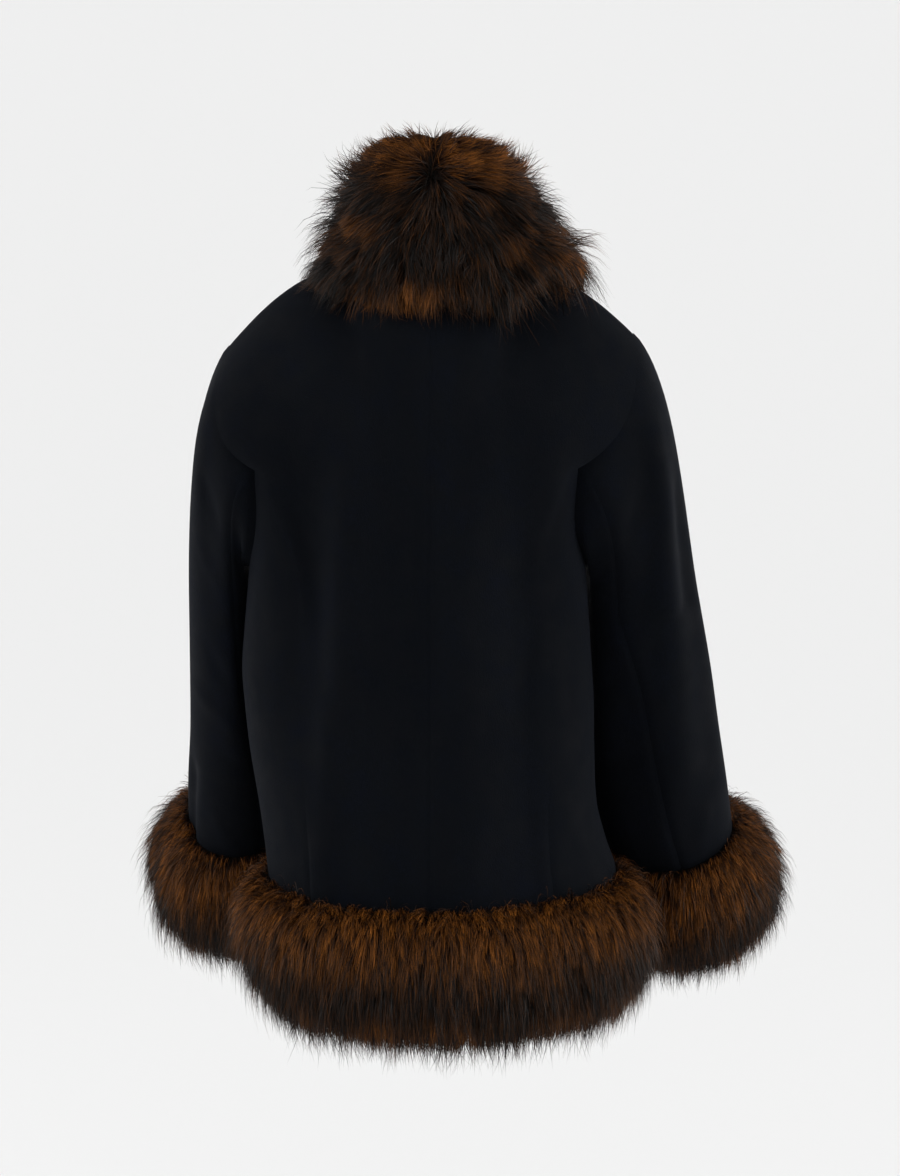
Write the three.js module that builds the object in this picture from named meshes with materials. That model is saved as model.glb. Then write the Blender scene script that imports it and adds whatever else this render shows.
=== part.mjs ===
// A short wool coat with a fur collar, fur cuffs and a fur hem, in the form it takes when it is worn.
// Millimetres, +Z up. The coat's front faces -Y, +X is the wearer's left, and the origin is the middle of the
// neck's base.
import * as THREE from "three";

// Driving sizes
const CLOTH = 2.6; // thickness of the double-faced wool
const SEAM_GAP = 0.32; // space between two pieces at a seam
const SIDE_LINE = 12; // Y of the line down the body's sides, which the widths are measured on
const NECK_HALF = 78; // half width of the neckline at the shoulder seams
const NECK_RISE = 26; // height of the neckline at the centre back
const NECK_SIDE_RISE = 18; // and at the shoulder seams
const SHOULDERS = {
  left: { half: 200, drop: 80 }, // from the middle to the armhole seam, and the fall of the shoulder seam
  right: { half: 203, drop: 68 },
};
const NECK_BACK = 60; // Y of the neckline at the centre back
const NECK_SIDE = -8; // Y of the neckline at the shoulder seam
const NECK_FRONT = -80; // Y of the neckline at the centre front
const NECK_FRONT_DROP = 84; // how far the neckline falls at the centre front
const BACK_NOTCH = -176; // height where the side back seam meets the armhole
const FRONT_NOTCH = -214; // height where the side front seam meets the armhole
const UNDERARM = -282; // lowest point of the armhole
const HEM = -606; // mean height of the seam between wool and hem fur
const HEM_DIP = 3; // how much lower that seam hangs at the centre back and front
const FRONT_GAP_TOP = 5; // space between the two front edges at the neck
const FRONT_GAP_HEM = 9; // and at the hem
const GAP_WIDENS = { from: -80, to: -640 }; // heights between which it grows
const SHOULDER_SET = 4; // how much further back the shoulder seam ends at the armhole than at the neck
const SHOULDER_CURVE = 1.9; // how late the shoulder seam falls
const NECK_CURVE = 1.3; // how the front neckline falls towards the centre

// How finely each piece is divided
const NECK_COLUMNS = 5;
const SHOULDER_COLUMNS = 6;
const LOWER_ROWS = 13;
const UPPER_ROWS = 8;
const SIDE_COLUMNS = 8;
const CAP_ROWS = 8;
const ARM_ROWS = 8;
const FUR_ROWS = 11;
const COLLAR_SPANS = 44;

// The body's level sections: half widths to the wearer's left and right, depths behind and before the side
// line, and how square each side is.
const BODY = [
  { z: -760, left: 136, right: 184, back: 148, front: 156, squareLeft: 2.2, squareRight: 2.2 },
  { z: -700, left: 146, right: 188, back: 148, front: 156, squareLeft: 2.2, squareRight: 2.2 },
  { z: -640, left: 160, right: 191, back: 145, front: 153, squareLeft: 2.2, squareRight: 2.2 },
  { z: -595, left: 165, right: 189, back: 142, front: 150, squareLeft: 2.2, squareRight: 2.2 },
  { z: -565, left: 168, right: 179, back: 139, front: 148, squareLeft: 2.2, squareRight: 2.2 },
  { z: -525, left: 173, right: 169, back: 135, front: 146, squareLeft: 2.25, squareRight: 2.25 },
  { z: -467, left: 182, right: 166, back: 129, front: 142, squareLeft: 2.3, squareRight: 2.3 },
  { z: -417, left: 187, right: 165, back: 124, front: 140, squareLeft: 2.4, squareRight: 2.3 },
  { z: -384, left: 189, right: 163, back: 121, front: 140, squareLeft: 2.4, squareRight: 2.3 },
  { z: -341, left: 186, right: 160, back: 118, front: 140, squareLeft: 2.5, squareRight: 2.3 },
  { z: -284, left: 181, right: 156, back: 112, front: 138, squareLeft: 2.7, squareRight: 2.3 },
  { z: -238, left: 178, right: 150, back: 109, front: 136, squareLeft: 3.0, squareRight: 2.4 },
  { z: -176, left: 181, right: 156, back: 107, front: 130, squareLeft: 3.6, squareRight: 2.7 },
];

// Polar angles of the side seams from the centre back, in degrees.
const SIDE_SEAMS = [
  { z: -760, behind: 46, before: 126 },
  { z: -620, behind: 47, before: 126 },
  { z: -460, behind: 51, before: 124 },
  { z: -300, behind: 56, before: 121 },
  { z: -235, behind: 61, before: 118 },
  { z: -176, behind: 69, before: 115 },
];

// Soft hanging folds of the body: face 1 is the back and -1 the front, x is where the fold's middle lies
// halfway down, lean is how far it moves sideways from top to bottom, and a negative height is a trough.
const BODY_FOLDS = [
  { face: 1, x: 128, top: -110, bottom: -420, lean: -6, width: 24, height: -6 },
  { face: 1, x: 88, top: -90, bottom: -640, lean: 40, width: 22, height: 5.5 },
  { face: 1, x: 22, top: -150, bottom: -660, lean: 4, width: 20, height: -4 },
  { face: 1, x: -30, top: -110, bottom: -660, lean: 0, width: 26, height: 4 },
  { face: 1, x: -98, top: -150, bottom: -600, lean: 4, width: 26, height: -6.5 },
  { face: -1, x: 95, top: -180, bottom: -650, lean: 14, width: 26, height: 5 },
  { face: -1, x: 52, top: -220, bottom: -650, lean: 4, width: 20, height: -5 },
  { face: -1, x: -58, top: -220, bottom: -650, lean: -6, width: 22, height: -5 },
  { face: -1, x: -104, top: -200, bottom: -650, lean: -10, width: 26, height: 5.5 },
];

const FOLD_ENDS = { in: 0.25, fade: 0.85, out: 1.25 }; // shares of a fold's length where it swells and dies
const FOLD_FACING = { none: 0.1, full: 0.6 }; // how squarely cloth must face back or front to carry a fold

// The curves of the back and the front above their notch, in the middle and at the armhole: the direction in
// which they rise from the notch's level, the one in which they meet the top edge, and how far each holds.
const BACK_CURVE = {
  rise: { middle: [0, -0.03, 1], armhole: [1.25, -0.03, 0.65], holds: 1.1 },
  over: { middle: [0, -0.78, 0.62], armhole: [0, -0.95, 0.34], holds: 0.95 },
};
const FRONT_CURVE = {
  rise: { middle: [0, 0.02, 1], armhole: [0.6, 0.12, 0.8], holds: 1 },
  over: { middle: [0, 0.4, 0.9], armhole: [0, 0.95, 0.36], holds: 0.9 },
};
const ARMHOLE_CURVE = 1.2; // how square the armhole's lower curve is

// The sleeves below the armhole: the middle of the sleeve, its half widths outwards and backwards, by the way
// along it, and the angle of the back seam in degrees from the outer side.
const SLEEVES = {
  left: [
    { way: 0, x: 204, y: -40, z: -322, wide: 41, deep: 60, seam: 104 },
    { way: 0.28, x: 202, y: -54, z: -398, wide: 44, deep: 60, seam: 112 },
    { way: 0.54, x: 201, y: -74, z: -467, wide: 47, deep: 59, seam: 118 },
    { way: 0.78, x: 202, y: -99, z: -528, wide: 51, deep: 58, seam: 120 },
    { way: 1, x: 202, y: -128, z: -582, wide: 53, deep: 58, seam: 120 },
    { way: 1.25, x: 199, y: -165, z: -633, wide: 55, deep: 59, seam: 120 },
    { way: 1.5, x: 195, y: -206, z: -682, wide: 57, deep: 60, seam: 120 },
  ],
  right: [
    { way: 0, x: 210, y: -18, z: -322, wide: 62, deep: 57, seam: 112 },
    { way: 0.28, x: 217, y: -26, z: -398, wide: 69, deep: 58, seam: 95 },
    { way: 0.54, x: 224, y: -42, z: -468, wide: 73, deep: 59, seam: 88 },
    { way: 0.78, x: 234, y: -64, z: -533, wide: 74, deep: 60, seam: 83 },
    { way: 1, x: 246, y: -92, z: -590, wide: 71, deep: 61, seam: 78 },
    { way: 1.25, x: 255, y: -127, z: -644, wide: 68, deep: 62, seam: 80 },
    { way: 1.5, x: 259, y: -165, z: -696, wide: 68, deep: 63, seam: 80 },
  ],
};
const FRONT_SEAM = 236; // the sleeve's other seam, in degrees from the outer side over the back

// How a sleeve's cap leaves the armhole at the shoulder, at its seams and under the arm: outwards and up.
const CAP_SPREAD = 0.3; // how far it also leaves backwards and forwards
const CAP_FREE = { depth: 30, fall: 40 }; // how far the cap may lie inside the body's line above the notch
const CAP_LEAVES = {
  left: { topOut: 0.3, seamOut: 0.65, underOut: 0.85, topUp: -0.8, underUp: 0.05 },
  right: { topOut: 0.42, seamOut: 0.7, underOut: 0.9, topUp: -0.7, underUp: 0 },
};

// Creases along the sleeves: turn is the angle from the outer side towards the back, in degrees.
const SLEEVE_FOLDS = {
  left: [
    { turn: 28, from: 0.55, to: 1.5, lean: -20, width: 13, height: -6 },
    { turn: 96, from: -0.5, to: 0.7, lean: 0, width: 20, height: 3 },
  ],
  right: [
    { turn: 58, from: -0.95, to: 0.9, lean: 12, width: 16, height: 5 },
    { turn: 28, from: -0.6, to: 0.8, lean: 6, width: 18, height: -3 },
    { turn: 112, from: 0.1, to: 1.5, lean: -10, width: 18, height: -4 },
  ],
};

// How deep the fur stands on the hem and cuffs, and how tall its band is.
const HEM_FUR = { pile: 42, band: 108, over: 12, below: 18 };
const CUFF_FUR = { pile: 43, band: 100, over: 12, below: 18 };
const FUR_CLEARANCE = 3; // least space between the cuffs' fur and the hem's
const FUR_MARGIN = { height: 24, reach: 6 }; // how far from the hem's fur the sleeves start to clear it
const SLEEVE_CLEARANCE = 4; // least space between a sleeve and the body
const LAP = 0.8; // space between the fur and the cloth that it covers
const COLLAR_SEAT = 1.8; // space between the collar and the cloth below it
const YIELD = 10; // how softly a sleeve or cuff gives way to the body, the width of the bend
const ROLL = 0.55; // how full the fur's roll is, less is fuller
const FUR_START = 3; // how far the fur stands out where it starts

// The hem's fur is pressed flatter beside the cuffs, between shares of the way round from back to front.
const HEM_PRESS = { share: 0.42, from: 0.4, full: 0.52, ease: 0.74, to: 0.88 };
const HEM_ENDS = { share: 0.8, angle: 0.16 }; // and near the front edges, within an angle of them
const CUFF_PRESS = 0.62; // share of the cuff fur's depth that is left at the inner side

// Locks of fur make each roll uneven: waves by height, waves round the coat, waves down the fur and start.
const LOCKS = [
  { height: 1.8, round: 9, down: 0.05, start: 1 },
  { height: 1.4, round: 17, down: -0.07, start: 2 },
  { height: 1.2, round: 5, down: 0.11, start: 3 },
];
const COLLAR_LOCKS = 0.5; // where the collar's locks start

// The collar's section at angles round the neck from the centre back: the crest's height, the distances of
// its inside and of its outside at four levels, and the bottom edge's height to the wearer's left and right.
const COLLAR_LEAN = { crest: -4, bottom: -13 }; // X of the collar's middle at the crest and at the bottom
const COLLAR_END = 175.5; // angle of the collar's two ends, in degrees
const COLLAR = [
  { turn: 0, crest: 160, inner: 58, top: 88, high: 106, low: 114, edge: 118, left: -2, right: -2 },
  { turn: 32, crest: 158, inner: 60, top: 90, high: 107, low: 117, edge: 124, left: -3, right: 0 },
  { turn: 48, crest: 150, inner: 61, top: 89, high: 108, low: 120, edge: 130, left: -4, right: 17 },
  { turn: 62, crest: 141, inner: 62, top: 88, high: 110, low: 123, edge: 136, left: -6, right: 19 },
  { turn: 90, crest: 120, inner: 63, top: 86, high: 114, low: 127, edge: 144, left: -10, right: 2 },
  { turn: 135, crest: 86, inner: 66, top: 92, high: 116, low: 128, edge: 138, left: -52, right: -52 },
  { turn: 180, crest: 46, inner: 70, top: 98, high: 120, low: 134, edge: 142, left: -132, right: -132 },
];
const COLLAR_LEVELS = [0.28, 0.46, 0.68, 0.86]; // shares of the way from crest to bottom edge
const COLLAR_UNDER = [1, 0.8, 0.6, 0.4, 0.2]; // shares of the way from its seat's outer line to the neck
const COLLAR_EDGE = { round: 6, bulge: 2, width: 14, least: 24 }; // the bottom edge's roll and overhang
const COLLAR_CREST = { round: 9, inner: 12, step: 10, share: 0.65 }; // the roll at the crest
const COLLAR_INSIDE = { share: 0.6, height: 0.45, room: 5 }; // the middle of the inside

const WOOL = { color: "#16181d", roughness: 0.95, metalness: 0 };
const FUR = { color: "#4f3018", roughness: 0.85, metalness: 0 };

const radians = THREE.MathUtils.degToRad;
const mix = THREE.MathUtils.lerp;
const ramp = THREE.MathUtils.smoothstep;

// A table's row at any place between its rows, each column on a smooth curve through the listed values.
function rowAt(table, key, at) {
  const rows = [...table].sort((a, b) => a[key] - b[key]);
  let i = rows.findIndex((row) => row[key] >= at);
  if (i === -1) i = rows.length - 1;
  i = Math.max(1, i);
  const [a, b] = [rows[i - 1], rows[i]];
  const before = rows[i - 2] ?? a;
  const after = rows[i + 1] ?? b;
  const span = b[key] - a[key];
  const t = Math.min(1, Math.max(0, (at - a[key]) / span));
  const found = {};
  for (const column of Object.keys(a)) {
    const slopeA = ((b[column] - before[column]) / (b[key] - before[key])) * span;
    const slopeB = ((after[column] - a[column]) / (after[key] - a[key])) * span;
    found[column] = hermite(a[column], slopeA, b[column], slopeB, t);
  }
  return found;
}

function hermite(p0, slope0, p1, slope1, t) {
  const u = 1 - t;
  return (1 + 2 * t) * u * u * p0 + t * u * u * slope0 + t * t * (3 - 2 * t) * p1 - t * t * u * slope1;
}

function hermitePoint(p0, slope0, p1, slope1, t) {
  return new THREE.Vector3(
    hermite(p0.x, slope0.x, p1.x, slope1.x, t),
    hermite(p0.y, slope0.y, p1.y, slope1.y, t),
    hermite(p0.z, slope0.z, p1.z, slope1.z, t),
  );
}

// The body below the armholes

// Distance from the side line's middle to the body's outside, without its folds.
function bodyReach(angle, z) {
  const row = rowAt(BODY, "z", z);
  const [width, square] =
    Math.sin(angle) >= 0 ? [row.left, row.squareLeft] : [row.right, row.squareRight];
  const depth = Math.cos(angle) >= 0 ? row.back : row.front;
  const across = Math.abs(Math.sin(angle)) / width;
  const along = Math.abs(Math.cos(angle)) / depth;
  return (across ** square + along ** square) ** (-1 / square);
}

// Moves a point outwards by the body's folds.
function withBodyFolds(point) {
  const out = new THREE.Vector3(point.x, point.y - SIDE_LINE, 0).normalize();
  let height = 0;
  for (const fold of BODY_FOLDS) {
    const down = (fold.top - point.z) / (fold.top - fold.bottom);
    const middle = fold.x + fold.lean * (down - 0.5);
    const across = (point.x - middle) / fold.width;
    const ends = ramp(down, 0, FOLD_ENDS.in) * (1 - ramp(down, FOLD_ENDS.fade, FOLD_ENDS.out));
    const facing = ramp(out.y * fold.face, FOLD_FACING.none, FOLD_FACING.full);
    height += fold.height * Math.exp(-across * across) * ends * facing;
  }
  return point.clone().addScaledVector(out, height);
}

function bodyPoint(angle, z) {
  const reach = bodyReach(angle, z);
  const point = new THREE.Vector3(reach * Math.sin(angle), SIDE_LINE + reach * Math.cos(angle), z);
  return withBodyFolds(point);
}

function hemHeight(angle) {
  return HEM - HEM_DIP * Math.cos(2 * angle);
}

// Half the angle of the front gap at a height.
function frontEdge(z) {
  const gap = mix(FRONT_GAP_TOP, FRONT_GAP_HEM, ramp(-z, -GAP_WIDENS.from, -GAP_WIDENS.to));
  return Math.PI - gap / 2 / bodyReach(Math.PI, z);
}

// The neckline and shoulder seam. The way runs from the neck to the armhole.
function shoulderSeam(side, way) {
  const { half, drop } = side > 0 ? SHOULDERS.left : SHOULDERS.right;
  return new THREE.Vector3(
    side * mix(NECK_HALF, half, way),
    NECK_SIDE + SHOULDER_SET * way,
    NECK_SIDE_RISE - drop * way ** SHOULDER_CURVE,
  );
}

function backNeckline(side, way) {
  const turn = (way * Math.PI) / 2;
  return new THREE.Vector3(
    side * NECK_HALF * Math.sin(turn),
    mix(NECK_SIDE, NECK_BACK, Math.cos(turn)),
    mix(NECK_RISE, NECK_SIDE_RISE, way * way),
  );
}

function frontNeckline(side, way) {
  const turn = (way * Math.PI) / 2;
  const edge = FRONT_GAP_TOP / 2;
  return new THREE.Vector3(
    side * mix(edge, NECK_HALF, Math.sin(turn)),
    mix(NECK_SIDE, NECK_FRONT, Math.cos(turn)),
    NECK_SIDE_RISE - NECK_FRONT_DROP * Math.cos(turn) ** NECK_CURVE,
  );
}

// The top edge of a back or front panel, from the centre to the armhole, by column.
function topEdge(side, column, neckline) {
  if (column <= NECK_COLUMNS) return neckline(side, column / NECK_COLUMNS);
  return shoulderSeam(side, (column - NECK_COLUMNS) / SHOULDER_COLUMNS);
}

const PANEL_COLUMNS = NECK_COLUMNS + SHOULDER_COLUMNS;

// Rows of a panel from the hem up to a notch, then over to its top edge.
function backPanel(side) {
  const rows = [];
  for (let i = 0; i <= LOWER_ROWS; i++) {
    rows.push(columnsOf(PANEL_COLUMNS, (s) => lowerBack(side, s, i)));
  }
  for (let i = 1; i <= UPPER_ROWS; i++) {
    rows.push(columnsOf(PANEL_COLUMNS, (s, j) => upperBack(side, s, j, i / UPPER_ROWS)));
  }
  return rows;
}

function columnsOf(count, pointAt) {
  return Array.from({ length: count + 1 }, (_, j) => pointAt(j / count, j));
}

function lowerBack(side, s, row) {
  const z = heightOfRow(hemHeight(seamAngle("behind", HEM) * s), BACK_NOTCH, row);
  return bodyPoint(side * s * seamAngle("behind", z), z);
}

// Row 0 is the hem seam, row 1 is where the hem's fur starts, and the rest are evenly spaced to the top.
function heightOfRow(foot, top, row) {
  if (row === 0) return foot;
  return mix(foot + HEM_FUR.over, top, (row - 1) / (LOWER_ROWS - 1));
}

function seamAngle(which, z) {
  return radians(rowAt(SIDE_SEAMS, "z", z)[which]);
}

// From the notch's level each column of the back rises, bends over the shoulder blade and meets the top edge.
function upperBack(side, s, column, up) {
  const foot = bodyPoint(side * s * seamAngle("behind", BACK_NOTCH), BACK_NOTCH);
  return upperPoint(side, s, foot, topEdge(side, column, backNeckline), BACK_CURVE, up);
}

// A point between a column's foot and head on a curve that leaves and arrives in the directions of a table.
function upperPoint(side, s, foot, head, curve, up) {
  const length = foot.distanceTo(head);
  const heading = ({ middle, armhole, holds }, share) => {
    const [x, y, z] = middle.map((value, k) => mix(value, armhole[k], share));
    return new THREE.Vector3(side * x, y, z).multiplyScalar(length * holds);
  };
  return hermitePoint(foot, heading(curve.rise, s ** 4), head, heading(curve.over, s), up);
}

function frontPanel(side) {
  const rows = [];
  for (let i = 0; i <= LOWER_ROWS; i++) {
    rows.push(columnsOf(PANEL_COLUMNS, (s) => lowerFront(side, s, i)));
  }
  for (let i = 1; i <= UPPER_ROWS; i++) {
    rows.push(columnsOf(PANEL_COLUMNS, (s, j) => upperFront(side, s, j, i / UPPER_ROWS)));
  }
  return rows;
}

function lowerFront(side, s, row) {
  const z = heightOfRow(hemHeight(mix(Math.PI, seamAngle("before", HEM), s)), FRONT_NOTCH, row);
  return bodyPoint(side * mix(frontEdge(z), seamAngle("before", z), s), z);
}

function upperFront(side, s, column, up) {
  const angle = mix(frontEdge(FRONT_NOTCH), seamAngle("before", FRONT_NOTCH), s);
  const foot = bodyPoint(side * angle, FRONT_NOTCH);
  return upperPoint(side, s, foot, topEdge(side, column, frontNeckline), FRONT_CURVE, up);
}

// The side panel lies under the arm, between the two side seams, and its top is the armhole's lower curve.
function sidePanel(side) {
  const rows = [];
  for (let i = 0; i <= LOWER_ROWS; i++) {
    rows.push(columnsOf(SIDE_COLUMNS, (s) => sidePoint(side, s, i)));
  }
  return rows;
}

function sidePoint(side, s, row) {
  const foot = hemHeight(mix(seamAngle("behind", HEM), seamAngle("before", HEM), s));
  const z = heightOfRow(foot, armholeBottom(s), row);
  return bodyPoint(side * mix(seamAngle("behind", z), seamAngle("before", z), s), z);
}

function armholeBottom(s) {
  const level = mix(BACK_NOTCH, FRONT_NOTCH, s);
  const depth = UNDERARM - mix(BACK_NOTCH, FRONT_NOTCH, 0.5);
  return level + depth * Math.sin(Math.PI * s) ** ARMHOLE_CURVE;
}

// The sleeves

// The armhole's points from the shoulder, down the back, under the arm and up the front, with the angle round
// the sleeve that each one leads to: 0 at the outer side, 90 at the back, 180 at the inner side.
function armholeLoop(back, front, side) {
  const down = back.slice(LOWER_ROWS).map((row) => row.at(-1));
  const under = side.at(-1);
  const up = front.slice(LOWER_ROWS).map((row) => row.at(-1));
  const loop = [...down.reverse(), ...under.slice(1), ...up.slice(1, -1)];
  const lengths = loop.map((point, i) => point.distanceTo(loop[(i + 1) % loop.length]));
  const bottom = down.length - 1 + Math.round(SIDE_COLUMNS / 2);
  const total = (from, to) => lengths.slice(from, to).reduce((sum, x) => sum + x, 0);
  const angles = loop.map((_, i) =>
    i <= bottom
      ? (Math.PI * total(0, i)) / total(0, bottom)
      : Math.PI * (1 + total(bottom, i) / total(bottom, loop.length)),
  );
  return { loop, angles, hind: down.length - 1, fore: down.length - 1 + SIDE_COLUMNS };
}

// The sleeve's middle, and the directions along it, outwards and backwards, at a way along it.
function sleeveFrame(name, way) {
  const sign = name === "left" ? 1 : -1;
  const row = rowAt(SLEEVES[name], "way", way);
  const [a, b] = [way - 0.02, way + 0.02].map((at) => rowAt(SLEEVES[name], "way", at));
  const along = new THREE.Vector3(sign * (b.x - a.x), b.y - a.y, b.z - a.z).normalize();
  const out = new THREE.Vector3(sign, 0, 0);
  out.addScaledVector(along, -out.dot(along)).normalize();
  const back = new THREE.Vector3().crossVectors(along, out).multiplyScalar(-sign);
  return { row, along, out, back, middle: new THREE.Vector3(sign * row.x, row.y, row.z) };
}

function sleeveFold(name, turn, way) {
  let height = 0;
  for (const fold of SLEEVE_FOLDS[name]) {
    const run = (way - fold.from) / (fold.to - fold.from);
    const away = (THREE.MathUtils.radToDeg(turn) - fold.turn - fold.lean * run) / fold.width;
    height += fold.height * Math.exp(-away * away) * ramp(run, 0, 0.2) * (1 - ramp(run, 0.8, 1));
  }
  return height;
}

// A point of the sleeve's outside, moved further out by an extra distance.
function sleevePoint(name, turn, way, extra = 0) {
  const { row, out, back, middle } = sleeveFrame(name, way);
  const more = extra + sleeveFold(name, turn, way);
  return middle
    .addScaledVector(out, (row.wide + more) * Math.cos(turn))
    .addScaledVector(back, (row.deep + more) * Math.sin(turn));
}

// Moves a point straight away from the body and the hem's fur until it is clear of them, and less and less
// the further off it is.
function clearOfBody(point, clearance) {
  const flat = new THREE.Vector2(point.x, point.y - SIDE_LINE);
  const body = bodyPoint(Math.atan2(flat.x, flat.y), point.z);
  const least = Math.hypot(body.x, body.y - SIDE_LINE) + clearance + hemFurReach(point);
  const reach = flat.length();
  const spare = reach - least;
  flat.multiplyScalar((least + (spare + Math.hypot(spare, YIELD)) / 2) / reach);
  return new THREE.Vector3(flat.x, SIDE_LINE + flat.y, point.z);
}

// The columns' angles at a way down the sleeve, spread so that the two seams lie at their own angles there.
function sleeveTurns(name, armhole, way) {
  const { angles, hind, fore } = armhole;
  const from = [0, angles[hind], angles[fore], 2 * Math.PI];
  const to = [0, radians(rowAt(SLEEVES[name], "way", way).seam), radians(FRONT_SEAM), 2 * Math.PI];
  return angles.map((angle, k) => {
    const part = k <= hind ? 0 : k <= fore ? 1 : 2;
    return mix(to[part], to[part + 1], (angle - from[part]) / (from[part + 1] - from[part]));
  });
}

// The sleeve's rows: from the armhole over the cap to the first section, down the arm to where the fur
// starts, and the last row at the seam with the cuff.
function sleeveRows(name, armhole) {
  const rows = [armhole.loop];
  const first = sleeveTurns(name, armhole, 0);
  for (let i = 1; i <= CAP_ROWS; i++) {
    rows.push(armhole.loop.map((start, k) => capPoint(name, start, first[k], i / CAP_ROWS)));
  }
  const furStart = 1 - CUFF_FUR.over / sleeveLength(name);
  for (let i = 1; i <= ARM_ROWS; i++) {
    rows.push(sleeveRing(name, armhole, (furStart * i) / ARM_ROWS));
  }
  rows.push(sleeveRing(name, armhole, 1));
  return rows;
}

function sleeveRing(name, armhole, way) {
  return sleeveTurns(name, armhole, way).map((turn) =>
    clearOfBody(sleevePoint(name, turn, way), SLEEVE_CLEARANCE),
  );
}

// A column of the sleeve's cap leaves the armhole outwards and turns down along the arm.
function capPoint(name, start, turn, t) {
  const sign = name === "left" ? 1 : -1;
  const leaves = CAP_LEAVES[name];
  const end = sleevePoint(name, turn, 0);
  const length = start.distanceTo(end);
  const atTop = ramp(Math.cos(turn), -1, 1);
  const atUnder = ramp(-Math.cos(turn), 0.6, 1);
  const outwards = mix(leaves.seamOut, leaves.topOut, ramp(Math.cos(turn), -0.6, 1));
  const leave = new THREE.Vector3(
    sign * mix(outwards, leaves.underOut, atUnder),
    CAP_SPREAD * Math.sin(turn),
    mix(leaves.underUp, leaves.topUp, atTop),
  );
  const { along } = sleeveFrame(name, 0);
  const point = hermitePoint(
    start,
    leave.multiplyScalar(length),
    end,
    along.multiplyScalar(length),
    t,
  );
  const { out, back } = sleeveFrame(name, 0);
  const crease = sleeveFold(name, turn, t - 1);
  point.addScaledVector(out, crease * Math.cos(turn));
  point.addScaledVector(back, crease * Math.sin(turn));
  const below = ramp(-point.z, -BACK_NOTCH, CAP_FREE.fall - BACK_NOTCH);
  return clearOfBody(point, mix(-CAP_FREE.depth, SLEEVE_CLEARANCE, below));
}

// Walls

function keyOf(point) {
  return [point.x, point.y, point.z].map((value) => value.toFixed(3)).join();
}

// The outward direction at each point of all the panels, found together so that two at a seam share it.
function gatherNormals(grids) {
  const normals = new Map();
  const add = (corners, flip) => {
    const [a, b, c] = corners;
    const normal = new THREE.Vector3()
      .subVectors(b, a)
      .cross(new THREE.Vector3().subVectors(c, a))
      .multiplyScalar(flip);
    for (const corner of corners) {
      const key = keyOf(corner);
      if (!normals.has(key)) normals.set(key, new THREE.Vector3());
      normals.get(key).add(normal);
    }
  };
  for (const { rows, flip } of grids) {
    eachQuad(rows, (a, b, c, d) => {
      add([a, b, c], flip);
      add([a, c, d], flip);
    });
  }
  for (const normal of normals.values()) normal.normalize();
  return normals;
}

function eachQuad(rows, use) {
  for (let i = 0; i + 1 < rows.length; i++) {
    for (let j = 0; j + 1 < rows[i].length; j++) {
      use(rows[i][j], rows[i][j + 1], rows[i + 1][j + 1], rows[i + 1][j]);
    }
  }
}

// The panel's edge points move into the panel, square to the edge, by half the seam's gap.
function drawnIn(rows) {
  const [last, end] = [rows.length - 1, rows[0].length - 1];
  return rows.map((row, i) =>
    row.map((point, j) => {
      const moved = point.clone();
      const pull = (inner, one, other) => {
        const edge = new THREE.Vector3().subVectors(other, one).normalize();
        const way = new THREE.Vector3().subVectors(inner, point);
        way.addScaledVector(edge, -way.dot(edge)).normalize();
        moved.addScaledVector(way, SEAM_GAP / 2);
      };
      const [before, after] = [Math.max(0, j - 1), Math.min(end, j + 1)];
      const [under, above] = [Math.max(0, i - 1), Math.min(last, i + 1)];
      if (i === 0) pull(rows[1][j], row[before], row[after]);
      if (i === last) pull(rows[last - 1][j], row[before], row[after]);
      if (j === 0) pull(row[1], rows[under][j], rows[above][j]);
      if (j === end) pull(row[end - 1], rows[under][j], rows[above][j]);
      return moved;
    }),
  );
}

// A closed wall between a panel's outside and the same points moved in by the cloth's thickness.
function wall(rows, normals) {
  const inside = rows.map((row) =>
    row.map((point) => point.clone().addScaledVector(normals.get(keyOf(point)), -CLOTH)),
  );
  const [outer, inner] = [drawnIn(rows), drawnIn(inside)];
  const faces = [];
  const quad = (a, b, c, d) => faces.push(a, b, c, a, c, d);
  eachQuad(outer, quad);
  eachQuad(inner, (a, b, c, d) => quad(a, d, c, b));
  const rim = (one, other) => {
    for (let i = 0; i + 1 < one.length; i++) quad(one[i + 1], one[i], other[i], other[i + 1]);
  };
  const column = (grid, j) => grid.map((row) => row.at(j));
  rim(outer[0], inner[0]);
  rim([...outer.at(-1)].reverse(), [...inner.at(-1)].reverse());
  rim(column(outer, 0).reverse(), column(inner, 0).reverse());
  rim(column(outer, -1), column(inner, -1));
  return facingOut(faces);
}

// A geometry from a list of triangle corners, turned so that its faces point out.
function facingOut(corners) {
  let volume = 0;
  for (let i = 0; i < corners.length; i += 3) {
    const [a, b, c] = corners.slice(i, i + 3);
    volume += a.dot(new THREE.Vector3().crossVectors(b, c));
  }
  const turned = volume < 0 ? [...corners].reverse() : corners;
  return new THREE.BufferGeometry().setFromPoints(turned);
}

// Fur

// A solid through a row of closed sections with as many points each, joined end to end or with two flat ends.
function sweptSolid(sections, closed) {
  const faces = [];
  const count = sections[0].length;
  const spans = closed ? sections.length : sections.length - 1;
  for (let i = 0; i < spans; i++) {
    const [one, other] = [sections[i], sections[(i + 1) % sections.length]];
    for (let j = 0; j < count; j++) {
      const k = (j + 1) % count;
      faces.push(one[j], one[k], other[k], one[j], other[k], other[j]);
    }
  }
  if (!closed) {
    const cap = (section, turned) => {
      const middle = section
        .reduce((sum, point) => sum.add(point), new THREE.Vector3())
        .divideScalar(count);
      section.forEach((point, j) => {
        const next = section[(j + 1) % count];
        faces.push(...(turned ? [middle, point, next] : [middle, next, point]));
      });
    };
    cap(sections[0], false);
    cap(sections.at(-1), true);
  }
  return facingOut(faces);
}

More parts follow.
